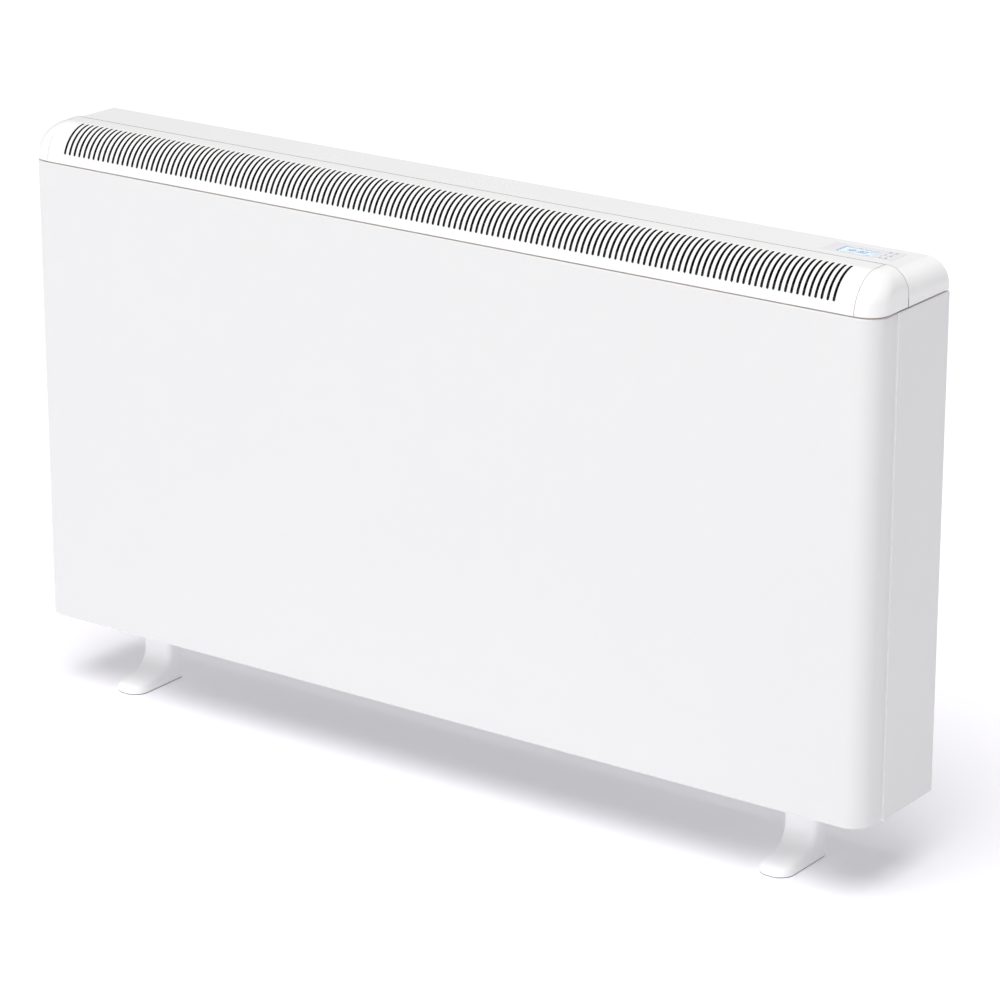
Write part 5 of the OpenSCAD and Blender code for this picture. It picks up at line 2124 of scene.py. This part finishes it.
@dataclass
class Foot:
    """A foot: an upright that sweeps forward into a low round toe."""

    sizes: HeaterSizes
    palette: Palette
    side: Side
    inset: float = 121.5 * MM
    width: float = 43 * MM
    toe_front: float = 6.5 * MM
    post_front: float = 68 * MM
    post_back: float = 88 * MM
    heel: float = 91 * MM
    sweep_r: float = 27 * MM
    toe_r: float = 19 * MM
    toe_top: float = 12.2 * MM
    toe_slope: float = 4.0
    tip: float = 8.5 * MM
    round_r: float = 7.5 * MM
    back_r: float = 1.6 * MM
    sole_r: float = 0.5 * MM
    sole: float = 1.2 * MM
    lean: float = 3.2 * MM
    back_drop: float = 10 * MM
    post_steps: int = 6
    sweep_steps: int = 14
    corner_steps: int = 6
    tip_drop: float = 0.62
    toe_shares: tuple[float, ...] = (
        0.15, 0.3, 0.45, 0.58, 0.7, 0.79, 0.86, 0.92, 0.96, 0.985, 1.0,
    )

    def _profile(self) -> list[tuple[Point2, Point2]]:
        """Front and back point of each section, as distance from the front and height.

        Returns:
            The pairs, from the top of the upright to the tip of the toe.
        """
        top = self.sizes.foot_h + self.sizes.sheet_t
        pairs = []
        centre_z = self.toe_top + self.sweep_r
        post = self.post_steps
        for k in range(post + 1):
            z = top + (centre_z - top) * k / post
            rear_y = self.post_back + (top - z) / top * self.lean
            pairs.append(((self.post_front, z), (rear_y, z - self.back_drop * k / post)))
        back = pairs[-1][1]
        for k, a in enumerate(quarter(self.sweep_steps)[1:], 1):
            front = (
                self.post_front - self.sweep_r * (1 - math.cos(a)),
                centre_z - self.sweep_r * math.sin(a),
            )
            if k <= post:
                share = k / post
                rear = (
                    back[0] + (self.heel - back[0]) * share,
                    back[1] + (self.sole - back[1]) * share,
                )
            else:
                share = (k - post) / (self.sweep_steps - post)
                rear = (self.heel + (front[0] - self.heel) * share**0.85, self.sole)
            pairs.append((front, rear))
        start = self.post_front - self.sweep_r
        fall = math.tan(math.radians(self.toe_slope))
        for share in self.toe_shares:
            y = start + (self.toe_front - start) * share
            near = max(0.0, (y - self.toe_front) / self.tip)
            drop = 1 - math.sqrt(max(0.0, 1 - (1 - min(near, 1.0)) ** 2))
            height = self.toe_top - fall * (start - y)
            z = self.sole + (height - self.sole) * (1 - self.tip_drop * drop)
            pairs.append(((y, z), (y, self.sole)))
        return pairs

    def _half_width(self, y: float) -> float:
        """Half of the foot's width, which shrinks round the toe.

        Args:
            y: distance from the front.

        Returns:
            The half width.
        """
        short = self.toe_r - (y - self.toe_front)
        straight = self.width / 2 - self.toe_r
        if short <= 0:
            return self.width / 2
        return straight + math.sqrt(max(self.toe_r**2 - short**2, 0))

    def _section(self, front: Point2, back: Point2) -> list[Point3]:
        """A rounded section between a front and a back point.

        Args:
            front: distance from the front, and height.
            back: the same, of its other side.

        Returns:
            The section's points.
        """
        start = Vector(front)
        along = Vector(back) - start
        depth = along.length
        along.normalize()
        half = self._half_width(front[0])
        round_f = min(self.round_r, 0.75 * depth, 0.8 * half)
        round_b = min(self.back_r if back[1] > self.sole else self.sole_r, 0.2 * depth)
        points = []
        for sign, corner, radius in (
            (1, 0.0, round_f), (1, depth, round_b), (-1, depth, round_b), (-1, 0.0, round_f),
        ):
            for a in quarter(self.corner_steps):
                u, v = math.sin(a), math.cos(a)
                if (sign > 0) != (corner == 0.0):
                    u, v = v, u
                d = corner + radius * (1 - v) * (1 if corner == 0.0 else -1)
                x = sign * (half - radius + radius * u)
                point = start + along * d
                points.append((x, point.x, point.y))
        centre = self.side.value * (self.sizes.half_w - self.inset)
        return [(centre + x, self.sizes.front_y + y, z) for x, y, z in points]

    def build(self) -> bpy.types.Object:
        """Lofts the foot from its sections.

        Returns:
            The foot.
        """
        bm = bmesh.new()
        loft(bm, [self._section(front, back) for front, back in self._profile()])
        bmesh.ops.remove_doubles(bm, verts=bm.verts[:], dist=WELD)
        shade(bm, limit=40)
        obj = to_object(f"swept_foot_{self.side.word}", bm)
        return place_piece(
            obj, self.palette, "foot_white", replaces=[f"foot_{self.side.word}"]
        )


# ---------------------------------------------------------------- supply entry and inside


@dataclass
class CableGland:
    """Fluted gland in the base, through which the supply cable would pass."""

    sizes: HeaterSizes
    palette: Palette
    at: Point2 = (541.3 * MM, 34.8 * MM)
    flutes: int = 12
    flute: float = 0.05
    segments: int = 48
    # Radius and height of each ring in millimetres, and whether it is fluted.
    outline: tuple[tuple[float, float, bool], ...] = (
        (5.6, 9.0, False), (9.4, 9.0, False), (10.0, 8.4, False), (10.0, 0.0, False),
        (13.0, 0.0, False), (13.0, -4.4, False), (12.5, -5.0, False),
        (10.9, -5.2, True), (11.0, -6.0, True), (11.0, -13.5, True),
        (10.2, -15.6, True), (8.6, -17.2, False), (6.6, -18.0, False),
        (5.6, -17.9, False), (5.0, -17.2, False), (5.0, 8.4, False),
    )

    def build(self) -> bpy.types.Object:
        """Turns the gland's body, hollow along its middle.

        Returns:
            The gland.
        """
        x, y = self.at
        top = self.sizes.foot_h + self.sizes.sheet_t
        rings = []
        for radius, z, fluted in self.outline:
            ring = []
            for k in range(self.segments):
                a = 2 * math.pi * k / self.segments
                dip = self.flute * (1 - math.cos(self.flutes * a)) / 2 if fluted else 0
                r = radius * (1 - dip) * MM
                ring.append((x + r * math.cos(a), y + r * math.sin(a), top + z * MM))
            rings.append(ring)
        rings.append(rings[0])
        bm = bmesh.new()
        loft(bm, rings, ends=False)
        bmesh.ops.remove_doubles(bm, verts=bm.verts[:], dist=FINE_WELD)
        shade(bm, limit=35)
        obj = to_object("gland_body", bm)
        return place_piece(obj, self.palette, "black_moulded", replaces=["cable_gland"])


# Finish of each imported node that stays; a name that ends in _ stands for a numbered row.
FINISH_OF: dict[str, str] = {
    "base_pan": "galvanised", "core_tray": "galvanised", "core_lid": "galvanised",
    "heat_shield": "galvanised", "partition_left": "galvanised",
    "partition_right": "galvanised", "booster_brackets": "galvanised",
    "core_bricks_": "magnetite", "insulation_": "mineral_board",
    "heating_element_": "dark_sheath", "booster_element": "dark_sheath",
    "core_probe": "dark_sheath", "element_links": "copper_alloy",
    "terminal_screws": "copper_alloy", "terminal_block": "ivory_moulded",
    "board_pillars": "ivory_moulded", "thermal_cutout": "ivory_moulded",
    "room_sensor": "ivory_moulded", "reset_pin": "red_moulded",
    "control_board": "solder_mask", "power_board": "solder_mask",
    "key_switches": "black_moulded", "gland_nut": "black_moulded",
    "wiring_loom": "silicone_wire", "board_screws": "zinc_screw",
    "foot_screws": "zinc_screw", "foot_soles": "sole_rubber",
}


@dataclass
class Interior:
    """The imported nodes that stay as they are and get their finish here."""

    palette: Palette
    nodes: dict[str, bpy.types.Object]

    def build(self) -> None:
        """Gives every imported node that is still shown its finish."""
        for name, obj in self.nodes.items():
            for start, finish in FINISH_OF.items():
                if name == start or (start.endswith("_") and name.startswith(start)):
                    obj.data.materials.clear()
                    obj.data.materials.append(self.palette.material(finish))
                    log.info("node %s: %s", name, finish)


# ---------------------------------------------------------------- studio


@dataclass(frozen=True)
class Lamp:
    """A large soft light, far enough away to light the whole floor evenly."""

    name: str
    at: Point3
    spread: float
    power: float


@dataclass(frozen=True)
class StudioSettings:
    """Camera and light of the photograph."""

    azimuth: float = 35.79
    pitch: float = 18.98
    focal_px: float = 4117.9
    frame_px: float = 1000
    eye: Point3 = (2.68324, -3.64864, 1.88719)
    sensor: float = 36.0
    clip: Point2 = (0.1, 60)
    floor_size: float = 30
    floor_drift: float = 0.8
    floor_gloss: Point2 = (0.6, 0.68)
    sky: tuple[tuple[float, float], ...] = ((0.1, 0.34), (0.5, 0.66), (0.85, 0.13))
    lamps: tuple[Lamp, ...] = (
        Lamp("key_light", (0.5, -3.2, 0.35), 28, 0.22),
        Lamp("top_light", (0.1, -1.05, 3.2), 48, 2.14),
    )
    floor: Colour = (0.86, 0.845, 0.885)
    floor_glow: Colour = (0.99, 0.985, 1.0)
    glow: float = 0.2


@dataclass
class Studio:
    """Plain pale floor, soft lights and the camera."""

    settings: StudioSettings = StudioSettings()

    def camera(self) -> None:
        """Sets the camera where the photograph was taken from."""
        s = self.settings
        data = bpy.data.cameras.new("camera")
        data.sensor_width = s.sensor
        data.lens = s.focal_px * s.sensor / s.frame_px
        data.clip_start, data.clip_end = s.clip
        camera = bpy.data.objects.new("camera", data)
        a, e = math.radians(s.azimuth), math.radians(s.pitch)
        look = Vector((-math.sin(a) * math.cos(e), math.cos(a) * math.cos(e), -math.sin(e)))
        camera.location = s.eye
        camera.rotation_euler = look.to_track_quat("-Z", "Y").to_euler()
        bpy.context.scene.collection.objects.link(camera)
        bpy.context.scene.camera = camera

    def floor(self) -> None:
        """Lays the floor."""
        s = self.settings
        bm = bmesh.new()
        bmesh.ops.create_grid(bm, x_segments=4, y_segments=4, size=s.floor_size)
        floor = to_object("floor", bm)
        graph = Graph("floor_paper")
        shader = graph.shader
        tone = graph.noise(s.floor_drift, 2)
        colour = graph.ramp(tone, MIDDLE, (tinted(s.floor, 0.995), s.floor))
        graph.join(colour, shader.inputs["Base Color"])
        graph.join(graph.span(tone, MIDDLE, s.floor_gloss), shader.inputs["Roughness"])
        shader.inputs["Emission Color"].default_value = (*s.floor_glow, 1)
        shader.inputs["Emission Strength"].default_value = s.glow
        floor.data.materials.append(graph.material)

    def light(self, lamp: Lamp) -> None:
        """Adds a light.

        Args:
            lamp: its name, the direction it shines from, its width in degrees and its power.
        """
        data = bpy.data.lights.new(lamp.name, "SUN")
        data.angle, data.energy = math.radians(lamp.spread), lamp.power
        sun = bpy.data.objects.new(lamp.name, data)
        sun.location = lamp.at
        sun.rotation_euler = (-Vector(lamp.at)).to_track_quat("-Z", "Y").to_euler()
        bpy.context.scene.collection.objects.link(sun)

    def sky(self) -> None:
        """Makes an even sky that is darker towards both ends of the heater, like flags."""
        world = bpy.data.worlds.new("studio_sky")
        world.use_nodes = True
        nodes, links = world.node_tree.nodes, world.node_tree.links
        coords = nodes.new("ShaderNodeTexCoord")
        split = nodes.new("ShaderNodeSeparateXYZ")
        along = nodes.new("ShaderNodeMapRange")
        along.inputs["From Min"].default_value = -1.0
        fade = nodes.new("ShaderNodeValToRGB")
        fade.color_ramp.interpolation = "EASE"
        fade.color_ramp.elements.new(0.5)
        for stop, (at, level) in zip(fade.color_ramp.elements, self.settings.sky):
            stop.position, stop.color = at, (level, level, level, 1)
        links.new(coords.outputs["Generated"], split.inputs["Vector"])
        links.new(split.outputs["X"], along.inputs["Value"])
        links.new(along.outputs["Result"], fade.inputs["Fac"])
        links.new(fade.outputs["Color"], nodes["Background"].inputs["Strength"])
        nodes["Background"].inputs["Color"].default_value = (1, 1, 1, 1)
        bpy.context.scene.world = world

    def build(self) -> None:
        """Builds the studio."""
        scene = bpy.context.scene
        scene.view_settings.view_transform = "Standard"
        self.sky()
        self.floor()
        for lamp in self.settings.lamps:
            self.light(lamp)
        self.camera()


# ---------------------------------------------------------------- main


def main() -> None:
    """Builds every sub-assembly in order."""
    logging.basicConfig(level=logging.INFO, format="%(name)s: %(message)s")
    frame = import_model()
    sizes = HeaterSizes()
    palette = Palette()
    layout = PanelLayout(sizes)
    Interior(palette, frame["nodes"]).build()
    CasePanels(sizes, palette).build()
    AirGrille(sizes, palette).build()
    for side in Side:
        EndCap(sizes, palette, side).build()
        Foot(sizes, palette, side).build()
    TopCover(sizes, palette, layout).build()
    ControlPanel(sizes, palette, layout).build()
    CableGland(sizes, palette).build()
    Studio().build()


if __name__ == "__main__":
    main()
